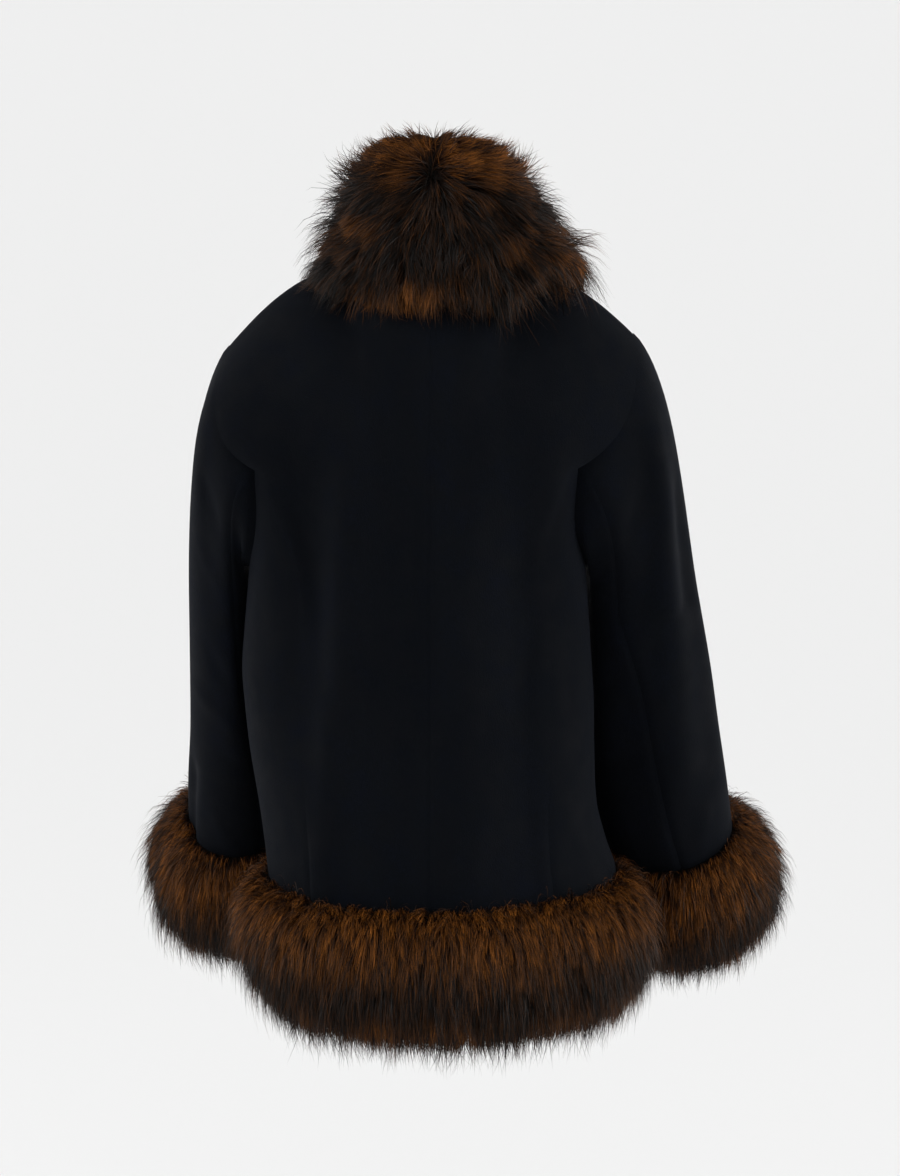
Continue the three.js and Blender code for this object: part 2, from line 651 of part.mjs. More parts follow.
// A band of fur round an edge of cloth. Each column has the cloth's outer points at the seam and where the
// fur starts above it, the direction out of the cloth, and what gives the points further down.
function furBand(columns, { pile, band, over, below }, closed, shape) {
  const sections = columns.map((column) => {
    const { seam, above, seamOut, aboveOut } = column;
    const section = [
      column.at(band, -CLOTH),
      column.at(band / 2, -CLOTH),
      column.at(SEAM_GAP, -CLOTH),
      column.at(SEAM_GAP, LAP),
      movedOut(seam, seamOut, LAP),
      movedOut(above, aboveOut, LAP),
      movedOut(above, aboveOut, FUR_START),
    ];
    for (let i = 1; i <= FUR_ROWS; i++) {
      const turn = (Math.PI * i) / FUR_ROWS;
      const down = mix(-over, band + below, (1 - Math.cos(turn)) / 2);
      const stand = shape(column, down, pile * Math.sin(turn) ** ROLL);
      section.push(column.at(down, Math.max(stand, 0)));
    }
    return section;
  });
  return sweptSolid(sections, closed);
}

function movedOut(point, out, distance) {
  return point.clone().addScaledVector(out, distance);
}

// The points and outward directions that a column of fur starts from.
function furRoot(seam, above, normals) {
  return { seam, above, seamOut: normals.get(keyOf(seam)), aboveOut: normals.get(keyOf(above)) };
}

function locks(turn, down, phase) {
  return LOCKS.reduce(
    (sum, wave) => sum + wave.height * Math.sin(wave.round * turn + wave.down * down + wave.start * phase),
    0,
  );
}

function hemPress(angle) {
  const { share, from, full, ease, to } = HEM_PRESS;
  const beside = Math.abs(angle) / Math.PI;
  return 1 - share * ramp(beside, from, full) * (1 - ramp(beside, ease, to));
}

// The panels' hem points in order round the body, from one front edge to the other.
function hemColumns(byName, normals) {
  const found = [];
  const take = (name, backwards) => {
    const rows = byName.get(name);
    const columns = rows[0].map((seam, j) => ({ seam, above: rows[1][j] }));
    found.push(...(backwards ? columns.reverse() : columns));
  };
  take("front_left", false);
  take("side_left", true);
  take("back_left", true);
  take("back_right", false);
  take("side_right", false);
  take("front_right", true);
  const seen = new Set();
  return found
    .filter(({ seam }) => !seen.has(keyOf(seam)) && seen.add(keyOf(seam)))
    .map(({ seam, above }) => {
      const angle = Math.atan2(seam.x, seam.y - SIDE_LINE);
      const at = (down, out) => hemFurPoint(angle, seam.z - down, out);
      return { ...furRoot(seam, above, normals), angle, at };
    });
}

function hemFurPoint(angle, z, out) {
  const edge = bodyPoint(angle, z);
  const away = new THREE.Vector3(edge.x, edge.y - SIDE_LINE, 0).normalize();
  return edge.addScaledVector(away, out);
}

function hemFur(columns) {
  return furBand(columns, HEM_FUR, false, ({ angle }, down, stand) => {
    const nearEnd = mix(HEM_ENDS.share, 1, ramp(Math.PI - Math.abs(angle), 0, HEM_ENDS.angle));
    return stand * (hemPress(angle) + locks(angle, down, 1) / HEM_FUR.pile) * nearEnd;
  });
}

function cuffFur(name, rows, armhole, normals) {
  const length = sleeveLength(name);
  const ring = rows.at(-1);
  const turns = sleeveTurns(name, armhole, 1);
  const columns = ring.map((seam, k) => {
    const at = (down, out) => cuffPoint(name, turns[k], 1 + down / length, out);
    return { ...furRoot(seam, rows.at(-2)[k], normals), angle: turns[k], at };
  });
  return furBand(columns, CUFF_FUR, true, ({ angle }, down, stand) => {
    const press = mix(CUFF_PRESS, 1, Math.cos(angle / 2) ** 2);
    return stand * (press + locks(angle, down, 2) / CUFF_FUR.pile);
  });
}

function cuffPoint(name, turn, way, out) {
  const clearance = out > LAP ? FUR_CLEARANCE : SLEEVE_CLEARANCE - out;
  return clearOfBody(sleevePoint(name, turn, way, out), clearance);
}

// How far things keep from the body at a point's height and angle to clear the hem's fur.
function hemFurReach(point) {
  const { pile, band, over, below } = HEM_FUR;
  const { height, reach } = FUR_MARGIN;
  const angle = Math.atan2(point.x, point.y - SIDE_LINE);
  const down = hemHeight(angle) - point.z;
  const share = (down + over + height) / (band + below + over + 2 * height);
  const ends = ramp(share, 0, 0.3) * ramp(1 - share, 0, 0.3);
  return (pile + reach) * hemPress(angle) * ends;
}

// Millimetres along the sleeve's middle for one unit of way near the cuff.
function sleeveLength(name) {
  const [a, b] = [1, 1.25].map((way) => sleeveFrame(name, way).middle);
  return a.distanceTo(b) / 0.25;
}

// The collar stands up round the neck and falls over the shoulders.
function collarFur(coat) {
  const sections = [];
  for (let i = 0; i <= COLLAR_SPANS; i++) {
    sections.push(collarSection(mix(-COLLAR_END, COLLAR_END, i / COLLAR_SPANS), coat));
  }
  return sweptSolid(sections, false);
}

// One section of the collar, as points from the crest down its outside, in over the coat and up its inside.
function collarSection(degrees, coat) {
  const angle = radians(degrees);
  const row = rowAt(COLLAR, "turn", Math.abs(degrees));
  const bottom = degrees > 0 ? row.left : row.right;
  const at = (reach, z, turn = angle) => {
    const share = Math.min(1, Math.max(0, z / row.crest));
    const middle = mix(COLLAR_LEAN.bottom, COLLAR_LEAN.crest, share);
    return new THREE.Vector3(middle + reach * Math.sin(turn), reach * Math.cos(turn), z);
  };
  // The coat's greatest height at a distance, from halfway to the section before to halfway to the next.
  const ground = (reach) => {
    const half = radians(COLLAR_END) / COLLAR_SPANS;
    const turns = [-half, -half / 2, 0, half / 2, half].map((off) => angle + off);
    const places = turns.map((turn) => at(reach, bottom, turn));
    return Math.max(...places.map((place) => heightOf(coat, place.x, place.y)));
  };
  const onCoat = (reach, z) => at(reach, Math.max(z, ground(reach) + COLLAR_SEAT));
  const levels = COLLAR_LEVELS.map((share) => mix(row.crest, bottom, share));
  const reaches = [mix(row.top, row.high, 0.6), row.high, row.low, row.edge];
  const uneven = (z) => locks(angle, z, COLLAR_LOCKS);
  const outside = [
    at(row.top + uneven(row.crest), row.crest - COLLAR_CREST.round),
    ...levels.map((z, k) => onCoat(reaches[k] + uneven(z), z)),
    onCoat(row.edge + COLLAR_EDGE.bulge + uneven(bottom), bottom + COLLAR_EDGE.round),
    onCoat(row.edge - COLLAR_EDGE.width, bottom),
  ];
  const neck = neckReach(angle);
  const STEP = 2;
  let contact = neck.reach + STEP;
  while (contact < row.edge - COLLAR_EDGE.least && ground(contact + STEP) > bottom) contact += STEP;
  const under = COLLAR_UNDER.map((share) => {
    const reach = mix(neck.reach + 1, contact, share);
    return at(reach + COLLAR_SEAT, ground(reach) + COLLAR_SEAT);
  });
  const middle = mix(neck.reach - COLLAR_INSIDE.room, row.inner, COLLAR_INSIDE.share);
  const inside = [
    at(neck.reach + 1, Math.max(neck.z, ground(neck.reach)) + COLLAR_SEAT),
    at(neck.reach - CLOTH - COLLAR_SEAT, neck.z + COLLAR_SEAT),
    at(middle, mix(neck.z, row.crest, COLLAR_INSIDE.height)),
    at(row.inner, row.crest - COLLAR_CREST.inner),
    at(row.inner + COLLAR_CREST.step, row.crest - 1),
    at(mix(row.inner, row.top, COLLAR_CREST.share), row.crest + 1),
  ];
  return [...outside, ...under, ...inside];
}

// The neckline's distance from the collar's middle and its height, in a direction.
function neckReach(angle) {
  const STEPS = 60;
  let best = { off: Infinity };
  for (const side of [1, -1]) {
    for (const line of [backNeckline, frontNeckline]) {
      for (let i = 0; i <= STEPS; i++) {
        const point = line(side, i / STEPS);
        const x = point.x - COLLAR_LEAN.bottom;
        const off = Math.abs(Math.atan2(x, point.y) - angle);
        if (off < best.off) best = { off, reach: Math.hypot(x, point.y), z: point.z };
      }
    }
  }
  return best;
}

// Height of the highest of the coat's faces over or under a place, or far below when there is none.
function heightOf(coat, x, y) {
  let height = -1000;
  for (const [a, b, c] of coat) {
    const area = (b.x - a.x) * (c.y - a.y) - (b.y - a.y) * (c.x - a.x);
    if (Math.abs(area) < 1e-6) continue;
    const u = ((x - a.x) * (c.y - a.y) - (y - a.y) * (c.x - a.x)) / area;
    const v = ((b.x - a.x) * (y - a.y) - (b.y - a.y) * (x - a.x)) / area;
    if (u < 0 || v < 0 || u + v > 1) continue;
    height = Math.max(height, a.z + u * (b.z - a.z) + v * (c.z - a.z));
  }
  return height;
}

const group = new THREE.Group();

function addPiece(name, geometry, look) {
  const mesh = new THREE.Mesh(geometry, new THREE.MeshStandardMaterial(look));
  mesh.name = name;
  group.add(mesh);
}

const panels = [];
const armholes = {};
for (const [name, side] of [
  ["left", 1],
  ["right", -1],
]) {
  const back = backPanel(side);
  const front = frontPanel(side);
  const under = sidePanel(side);
  const armhole = armholeLoop(back, front, under);
  const sleeve = sleeveRows(name, armhole);
  const upper = sleeve.map((row) => [...row.slice(armhole.fore), ...row.slice(0, armhole.hind + 1)]);
  const lower = sleeve.map((row) => row.slice(armhole.hind, armhole.fore + 1));
  panels.push({ name: `back_${name}`, rows: back, flip: -side });
  panels.push({ name: `front_${name}`, rows: front, flip: side });
  panels.push({ name: `side_${name}`, rows: under, flip: -side });
  panels.push({ name: `upper_sleeve_${name}`, rows: upper, flip: -side });
  panels.push({ name: `under_sleeve_${name}`, rows: lower, flip: -side });
  armholes[name] = { ...armhole, sleeve };
}
const normals = gatherNormals(panels);
for (const { name, rows } of panels) addPiece(name, wall(rows, normals), WOOL);

const byName = new Map(panels.map(({ name, rows }) => [name, rows]));
addPiece("hem_fur", hemFur(hemColumns(byName, normals)), FUR);
for (const name of ["left", "right"]) {
  const armhole = armholes[name];
  addPiece(`cuff_fur_${name}`, cuffFur(name, armhole.sleeve, armhole, normals), FUR);
}

const coat = [];
for (const { name, rows } of panels) {
  if (!/^(back|front|upper)/.test(name)) continue;
  eachQuad(rows, (a, b, c, d) => coat.push([a, b, c], [a, c, d]));
}
addPiece("collar_fur", collarFur(coat), FUR);

export default group;
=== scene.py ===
"""A short wool coat with a fur collar, fur cuffs and a fur hem, dressed round its CAD frame.

Lengths in the tables are millimetres in the frame's own axes: +Z up, the coat's back faces +Y and +X is
the wearer's left. Every surface is a function of two parameters, worked out on whole arrays and turned to
metres in make_mesh.
"""

from math import cos, pi, radians, sin

import bpy
import numpy as np
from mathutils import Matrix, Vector


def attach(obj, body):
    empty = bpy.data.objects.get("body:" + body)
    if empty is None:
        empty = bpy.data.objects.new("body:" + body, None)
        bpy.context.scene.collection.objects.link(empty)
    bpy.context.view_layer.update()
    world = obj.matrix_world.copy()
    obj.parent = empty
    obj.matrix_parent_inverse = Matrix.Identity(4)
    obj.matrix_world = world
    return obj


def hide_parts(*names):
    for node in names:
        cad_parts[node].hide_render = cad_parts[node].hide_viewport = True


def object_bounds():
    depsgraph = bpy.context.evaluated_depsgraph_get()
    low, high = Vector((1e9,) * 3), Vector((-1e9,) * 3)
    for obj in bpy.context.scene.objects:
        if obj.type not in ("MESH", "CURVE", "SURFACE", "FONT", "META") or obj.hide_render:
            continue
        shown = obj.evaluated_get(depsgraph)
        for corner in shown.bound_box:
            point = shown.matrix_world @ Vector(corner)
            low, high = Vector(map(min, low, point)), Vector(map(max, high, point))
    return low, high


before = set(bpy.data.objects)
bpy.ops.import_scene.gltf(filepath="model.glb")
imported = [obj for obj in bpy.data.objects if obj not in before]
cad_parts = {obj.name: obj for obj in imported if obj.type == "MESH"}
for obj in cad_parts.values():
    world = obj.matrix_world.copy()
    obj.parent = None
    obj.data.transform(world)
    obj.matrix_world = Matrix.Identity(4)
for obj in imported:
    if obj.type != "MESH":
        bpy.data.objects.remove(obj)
CAD_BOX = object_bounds()

MM = 0.001
HAIR_PASSES = np.array([27.0, 21.0, 33.0])  # how far hair may pass the solids' box
HAIR_BOX = np.array(CAD_BOX, float) / MM + np.outer([-1, 1], HAIR_PASSES)

# Driving sizes. They are the solids' own, but for the sleeves' clearance, the way their caps leave the
# armholes and the collar's lean, which are given here and differ a little from the solids'.
CLOTH = 2.6  # thickness of the double-faced wool
SIDE_LINE = 12  # Y of the line down the body's sides
NECK_HALF = 78
NECK_RISE = 26
NECK_SIDE_RISE = 18
SHOULDERS = {"left": (200, 80), "right": (203, 68)}  # half width and fall of the shoulder seam
NECK_BACK = 60
NECK_SIDE = -8
NECK_FRONT = -80
NECK_FRONT_DROP = 84
BACK_NOTCH = -176
FRONT_NOTCH = -214
UNDERARM = -282
HEM = -606
HEM_DIP = 3
FRONT_GAP = (5, 9)  # between the front edges at the neck and at the hem
FRONT_SEAM = 236  # degrees round the sleeve, from its outer side over the back
# The bands of fur: how far the pile stands out, the band's height, and how far it reaches over and below that
HEM_FUR = {"pile": 42, "band": 108, "over": 12, "below": 18}
CUFF_FUR = {"pile": 43, "band": 100, "over": 12}
SEAM_DEPTH = 1.4
SEAM_WIDTH = 2.6  # half the width of a seam's trough
FUR_FOOT = 106  # below the seam, where the outside of a band of fur ends
FUR_INSIDE = np.array([[104.0], [76.0], [40.0], [1.0]])  # the rows of its inside, below the seam
SLEEVE_CLEARANCE = 0  # between the sleeves and the body
SIDES = {"left": 1, "right": -1}

# The body's level sections: half widths to the left and right, depths behind and before the side line,
# and how square the two sides are
BODY = np.array([
    # z, left, right, back, front, square left, square right
    (-760, 136, 184, 148, 156, 2.2, 2.2),
    (-700, 146, 188, 148, 156, 2.2, 2.2),
    (-640, 160, 191, 145, 153, 2.2, 2.2),
    (-595, 165, 189, 142, 150, 2.2, 2.2),
    (-565, 168, 179, 139, 148, 2.2, 2.2),
    (-525, 173, 169, 135, 146, 2.25, 2.25),
    (-467, 182, 166, 129, 142, 2.3, 2.3),
    (-417, 187, 165, 124, 140, 2.4, 2.3),
    (-384, 189, 163, 121, 140, 2.4, 2.3),
    (-341, 186, 160, 118, 140, 2.5, 2.3),
    (-284, 181, 156, 112, 138, 2.7, 2.3),
    (-238, 178, 150, 109, 136, 3.0, 2.4),
    (-176, 181, 156, 107, 130, 3.6, 2.7),
], float)
LEFT, RIGHT, BACK, FRONT, SQUARE_LEFT, SQUARE_RIGHT = range(1, 7)

# Polar angles of the side seams from the centre back, in degrees
SIDE_SEAMS = np.array([
    # z, behind, before
    (-760, 46, 126),
    (-620, 47, 126),
    (-460, 51, 124),
    (-300, 56, 121),
    (-235, 61, 118),
    (-176, 69, 115),
], float)
BEHIND, BEFORE = 1, 2

# Soft hanging folds of the body: face 1 is the back, x is the fold's middle halfway down
BODY_FOLDS = [
    # face, x, top, bottom, lean, width, height
    (1, 128, -110, -420, -6, 24, -6),
    (1, 88, -90, -640, 40, 22, 5.5),
    (1, 22, -150, -660, 4, 20, -4),
    (1, -30, -110, -660, 0, 26, 4),
    (1, -98, -150, -600, 4, 26, -6.5),
    (-1, 95, -180, -650, 14, 26, 5),
    (-1, 52, -220, -650, 4, 20, -5),
    (-1, -58, -220, -650, -6, 22, -5),
    (-1, -104, -200, -650, -10, 26, 5.5),
]

# The curves of the back and front above the notch: directions in the middle and at the armhole, and hold
BACK_CURVE = {
    "rise": ((0, -0.03, 1), (1.25, -0.03, 0.65), 1.1),
    "over": ((0, -0.78, 0.62), (0, -0.95, 0.34), 0.95),
}
FRONT_CURVE = {
    "rise": ((0, 0.02, 1), (0.6, 0.12, 0.8), 1.0),
    "over": ((0, 0.4, 0.9), (0, 0.95, 0.36), 0.9),
}
CORNER = 5 / 11  # share of a panel's width where its neckline meets its shoulder seam

# The sleeves below the armhole, by the way along them
SLEEVES = {
    "left": np.array([
        # way, x, y, z, wide, deep, seam
        (0, 204, -40, -322, 41, 60, 104),
        (0.28, 202, -54, -398, 44, 60, 112),
        (0.54, 201, -74, -467, 47, 59, 118),
        (0.78, 202, -99, -528, 51, 58, 120),
        (1, 202, -128, -582, 53, 58, 120),
        (1.25, 199, -165, -633, 55, 59, 120),
        (1.5, 195, -206, -682, 57, 60, 120),
    ], float),
    "right": np.array([
        (0, 210, -18, -322, 62, 57, 112),
        (0.28, 217, -26, -398, 69, 58, 95),
        (0.54, 224, -42, -468, 73, 59, 88),
        (0.78, 234, -64, -533, 74, 60, 83),
        (1, 246, -92, -590, 71, 61, 78),
        (1.25, 255, -127, -644, 68, 62, 80),
        (1.5, 259, -165, -696, 68, 63, 80),
    ], float),
}
MID_X, MID_Y, MID_Z, WIDE, DEEP, SEAM = range(1, 7)

# How a sleeve's cap leaves the armhole: outwards at the top, at the seams and at the underside, and
# upwards at the top and at the underside
CAP_LEAVES = {"left": (0.3, 0.65, 0.75, -0.8, 0.0), "right": (0.42, 0.7, 0.15, -0.7, -0.8)}
CAP_FLOW = 0.68  # how far the cap's top runs on in the direction of the back and the front
CAP_SUNK = 30  # how deep inside the body's outline the cap may begin, above the notch

# Long folds of the sleeves: turn is the angle from the outer side towards the back
SLEEVE_FOLDS = {
    # turn, from, to, lean, width, height
    "left": [(28, 0.55, 1.5, -20, 13, -6), (96, -0.5, 0.7, 0, 20, 3)],
    "right": [(58, -0.95, 0.9, 12, 16, 5), (28, -0.6, 0.8, 6, 18, -3), (112, 0.1, 1.5, -10, 18, -4)],
}

# The collar's section at angles round the neck from the centre back
COLLAR_END = 175.5  # degrees from the centre back to its ends at the front
COLLAR_PILE = 15.0  # from its ground to the fur's outer reach
COLLAR_LEAN = (-18, -4)  # X of the collar's middle at the bottom and at the crest
COLLAR = np.array([
    # turn, crest, inner, top, high, low, edge, bottom left, bottom right
    (0, 160, 58, 88, 106, 114, 118, -2, -2),
    (32, 158, 60, 90, 107, 117, 124, -3, 0),
    (48, 150, 61, 89, 108, 120, 130, -4, 17),
    (62, 141, 62, 88, 110, 123, 136, -6, 19),
    (90, 120, 63, 86, 114, 127, 144, -10, 2),
    (135, 86, 66, 92, 116, 128, 138, -52, -52),
    (180, 46, 70, 98, 120, 134, 142, -132, -132),
], float)
CREST, INNER, TOP, HIGH, LOW, EDGE, BOTTOM_LEFT, BOTTOM_RIGHT = range(1, 9)

# Creases pressed and worn into the wool, and its long drapes. Each follows a line between two places on a
# piece, bowed to one side; on the body the places are x and z, on a sleeve they are degrees round it and
# the way along it.
BACK_CREASES = [
    # from, to, bow, width, height
    (122, -90, 112, -400, 6, 30, -6.0),
    (78, -80, 96, -520, -10, 26, 5.0),
    (-72, -100, -78, -600, 4, 28, -5.0),
    (-118, -60, -112, -330, -6, 20, 3.6),
    (18, -120, 28, -560, 6, 28, 2.4),
    (146, -380, 120, -590, 10, 16, -2.6),
    (-118, -250, -66, -296, 8, 11, -1.6),
    (-150, -222, -112, -330, -8, 10, 1.5),
    (-128, -300, -90, -420, 10, 12, -1.8),
    (-60, -470, -44, -600, 4, 10, 1.2),
    (-96, -500, -104, -610, -5, 9, -1.5),
    (104, -236, 52, -300, -10, 12, -1.5),
    (140, -262, 96, -372, 12, 11, 1.7),
    (120, -330, 84, -470, -8, 12, -1.9),
    (62, -500, 40, -604, 6, 10, -1.5),
    (112, -520, 118, -606, 3, 9, 1.2),
    (-26, -120, -14, -330, 6, 9, -0.9),
    (46, -110, 30, -290, -6, 10, 1.1),
]
FRONT_CREASES = [
    (-120, -262, -70, -330, 9, 12, -1.7),
    (-88, -360, -96, -520, -8, 12, 1.6),
    (-40, -440, -30, -600, 4, 10, -1.3),
    (118, -258, 74, -322, -9, 12, -1.6),
    (92, -372, 100, -540, 8, 12, 1.7),
    (36, -430, 28, -596, -4, 10, -1.2),
]
SLEEVE_CREASES = {
    "left": [
        (66, -0.72, 150, -0.16, 10, 10, -2.0),
        (40, -0.34, 132, 0.06, -8, 9, 1.6),
        (52, 0.1, 148, 0.34, 10, 9, -2.1),
        (20, 0.3, 120, 0.5, -10, 9, 1.7),
        (64, 0.5, 158, 0.62, 8, 8, -1.7),
        (-30, 0.2, -110, 0.46, 8, 10, -1.8),
        (-20, -0.5, -96, -0.2, -8, 10, -1.6),
        (60, 0.74, 96, 0.98, 4, 8, 1.2),
    ],
    "right": [
        (70, -0.7, 158, -0.2, 10, 11, -2.0),
        (84, -0.3, 160, 0.02, -9, 10, 1.8),
        (64, 0.06, 150, 0.3, 10, 10, -2.2),
        (30, 0.24, 112, 0.44, -8, 9, 1.5),
        (74, 0.46, 164, 0.58, 9, 9, -1.8),
        (-24, 0.24, -112, 0.5, 9, 10, -1.8),
        (-16, -0.46, -90, -0.18, -8, 10, -1.6),
        (46, 0.7, 70, 0.98, 5, 9, 1.3),
    ],
}


def mix(a, b, t):
    return a + (b - a) * t


def ramp(x, low, high):
    """A smooth step from 0 at low to 1 at high."""
    t = np.clip((x - low) / (high - low), 0, 1)
    return t * t * (3 - 2 * t)


def bell(x):
    return np.exp(-(x**2))


def unit(v):
    return v / np.maximum(np.linalg.norm(v, axis=-1, keepdims=True), 1e-9)


def stack(*parts):
    return np.stack(np.broadcast_arrays(*parts), axis=-1).astype(float)


def hermite(p0, slope0, p1, slope1, t):
    """The cubic from p0 to p1 that leaves and arrives with the given slopes."""
    u = 1 - t
    return (1 + 2 * t) * u * u * p0 + t * u * u * slope0 + t * t * (3 - 2 * t) * p1 - t * t * u * slope1


def follow(table, column, at):
    """A smooth curve through a table's column, in cubics whose slope at a row is that between its two
    neighbours."""
    if table[0, 0] > table[-1, 0]:
        table = table[::-1]
    x, y = table[:, 0], table[:, column]
    high = np.clip(np.searchsorted(x, at), 1, len(x) - 1)
    low = high - 1
    before, after = np.maximum(low - 1, 0), np.minimum(high + 1, len(x) - 1)
    span = x[high] - x[low]
    t = np.clip((at - x[low]) / span, 0, 1)
    slope_low = (y[high] - y[before]) / (x[high] - x[before]) * span
    slope_high = (y[after] - y[low]) / (x[after] - x[low]) * span
    return hermite(y[low], slope_low, y[high], slope_high, t)


def gathered(count, tightness=0.55):
    """Places from 0 to 1 that lie closer together towards both ends, where the seams are."""
    t = np.linspace(0, 1, count)
    return t - tightness * np.sin(2 * pi * t) / (2 * pi)


def body_reach(angle, z):
    """How far the body's outside is from its middle: a superellipse whose half widths, depths and
    squareness follow the body's table."""
    left = np.sin(angle) >= 0
    width = np.where(left, follow(BODY, LEFT, z), follow(BODY, RIGHT, z))
    square = np.where(left, follow(BODY, SQUARE_LEFT, z), follow(BODY, SQUARE_RIGHT, z))
    depth = np.where(np.cos(angle) >= 0, follow(BODY, BACK, z), follow(BODY, FRONT, z))
    across, along = np.abs(np.sin(angle)) / width, np.abs(np.cos(angle)) / depth
    return (across**square + along**square) ** (-1 / square)


def outwards(point):
    """The level direction from the body's middle to a point."""
    return unit((point - np.array([0, SIDE_LINE, 0])) * np.array([1, 1, 0]))


def with_body_folds(point):
    """Moves points outwards by the body's folds, each a bell across and faded at both ends."""
    out = outwards(point)
    height = 0
    for face, x, top, bottom, lean, width, size in BODY_FOLDS:
        down = (top - point[..., 2]) / (top - bottom)
        across = (point[..., 0] - x - lean * (down - 0.5)) / width
        ends = ramp(down, 0, 0.25) * (1 - ramp(down, 0.85, 1.25))
        height = height + size * bell(across) * ends * ramp(out[..., 1] * face, 0.1, 0.6)
    return point + out * height[..., None]


def body_point(angle, z):
    """The body's outside at a height and an angle from the centre back, positive to the left."""
    reach = body_reach(angle, z)
    return with_body_folds(stack(reach * np.sin(angle), SIDE_LINE + reach * np.cos(angle), z))


def hem_height(angle):
    return HEM - HEM_DIP * np.cos(2 * angle)


def front_edge(z):
    """The angle of a front's free edge, half the gap between the fronts away from the centre."""
    gap = mix(FRONT_GAP[0], FRONT_GAP[1], ramp(-z, 80, 640))
    return pi - gap / 2 / body_reach(np.full_like(z, pi), z)


def seam_angle(which, z):
    return np.radians(follow(SIDE_SEAMS, which, z))


def shoulder_seam(name, way):
    """The shoulder seam from the neck out: level at first, and falling with a power of the way."""
    half, drop = SHOULDERS[name]
    x = SIDES[name] * mix(NECK_HALF, half, way)
    return stack(x, NECK_SIDE + 4 * way, NECK_SIDE_RISE - drop * way**1.9)


def neckline(name, way, behind):
    """Half the neckline, from the centre back or front to the shoulder seam: a quarter of an oval."""
    turn = way * pi / 2
    if behind:
        x = NECK_HALF * np.sin(turn)
        y = mix(NECK_SIDE, NECK_BACK, np.cos(turn))
        return stack(SIDES[name] * x, y, mix(NECK_RISE, NECK_SIDE_RISE, way * way))
    x = mix(FRONT_GAP[0] / 2, NECK_HALF, np.sin(turn))
    z = NECK_SIDE_RISE - NECK_FRONT_DROP * np.abs(np.cos(turn)) ** 1.3
    return stack(SIDES[name] * x, mix(NECK_SIDE, NECK_FRONT, np.cos(turn)), z)


def top_edge(name, s, behind):
    """A panel's top edge by the share of its width. The corner between neckline and shoulder is rounded
    off by taking the mean over a stretch of the edge."""
    total = 0
    offsets = np.linspace(-1, 1, 9)
    for offset in offsets:
        at = s + offset * np.minimum(0.07, np.minimum(s, 1 - s))
        on_neck = neckline(name, np.clip(at / CORNER, 0, 1), behind)
        on_shoulder = shoulder_seam(name, np.clip((at - CORNER) / (1 - CORNER), 0, 1))
        total = total + np.where((at <= CORNER)[..., None], on_neck, on_shoulder)
    return total / len(offsets)


def upper_point(name, s, foot, head, curve, up):
    """A curve from a column's foot to its head that leaves and arrives in the directions of a table."""
    length = np.linalg.norm(head - foot, axis=-1, keepdims=True)

    def heading(which, share):
        middle, armhole, hold = curve[which]
        way = mix(np.array(middle), np.array(armhole), share[..., None])
        return way * np.array([SIDES[name], 1, 1]) * length * hold

    return hermite(foot, heading("rise", s**4), head, heading("over", s), up[..., None])


def body_panel(name, s, rise, behind):
    """The back, or the front, by the share of its width from the centre to the side seam and the armhole,
    and by its rise: 0 at the hem, 1 at the notch, 2 at the top edge."""
    s, rise = np.broadcast_arrays(s, rise)
    seam, notch, curve = (BEHIND, BACK_NOTCH, BACK_CURVE) if behind else (BEFORE, FRONT_NOTCH, FRONT_CURVE)

    def outside(z):
        return body_point(SIDES[name] * mix(0 if behind else front_edge(z), seam_angle(seam, z), s), z)

    hem = hem_height(mix(0 if behind else pi, seam_angle(seam, HEM), s))
    lower = outside(mix(hem, notch, np.minimum(rise, 1)))
    foot = outside(np.full_like(s, notch))
    upper = upper_point(name, s, foot, top_edge(name, s, behind), curve, np.clip(rise - 1, 0, 1))
    return np.where((rise <= 1)[..., None], lower, upper)


def side_panel(name, s, rise):
    """The panel under the arm, from the hem up to the armhole's lower curve."""
    s, rise = np.broadcast_arrays(s, rise)
    foot = hem_height(mix(seam_angle(BEHIND, HEM), seam_angle(BEFORE, HEM), s))
    depth = UNDERARM - mix(BACK_NOTCH, FRONT_NOTCH, 0.5)
    top = mix(BACK_NOTCH, FRONT_NOTCH, s) + depth * np.abs(np.sin(pi * s)) ** 1.2
    z = mix(foot, top, rise)
    return body_point(SIDES[name] * mix(seam_angle(BEHIND, z), seam_angle(BEFORE, z), s), z)


def sleeve_middle(name, way):
    """The sleeve's middle at a way along it: 0 at its first section, 1 at the cuff's seam."""
    x, y, z = (follow(SLEEVES[name], column, way) for column in (MID_X, MID_Y, MID_Z))
    return stack(SIDES[name] * x, y, z)


def sleeve_frame(name, way):
    """The sleeve's middle at a way along it, and the directions along it, outwards and backwards."""
    way = np.asarray(way, float)
    along = unit(sleeve_middle(name, way + 0.02) - sleeve_middle(name, way - 0.02))
    sideways = np.array([SIDES[name], 0.0, 0.0])
    out = unit(sideways - along * (along @ sideways)[..., None])
    return sleeve_middle(name, way), along, out, -SIDES[name] * np.cross(along, out)


def sleeve_fold(name, turn, way):
    height = 0
    for at, start, end, lean, width, size in SLEEVE_FOLDS[name]:
        run = (way - start) / (end - start)
        away = (np.degrees(turn) - at - lean * run) / width
        height = height + size * bell(away) * ramp(run, 0, 0.2) * (1 - ramp(run, 0.8, 1))
    return height


def sleeve_point(name, turn, way, extra=0.0):
    """A point of the sleeve's outside, or further out: an oval round its middle, with its long folds."""
    turn, way = np.broadcast_arrays(turn, way)
    middle, _, out, back = sleeve_frame(name, way)
    more = extra + sleeve_fold(name, turn, way)
    wide = (follow(SLEEVES[name], WIDE, way) + more) * np.cos(turn)
    deep = (follow(SLEEVES[name], DEEP, way) + more) * np.sin(turn)
    return middle + out * wide[..., None] + back * deep[..., None]


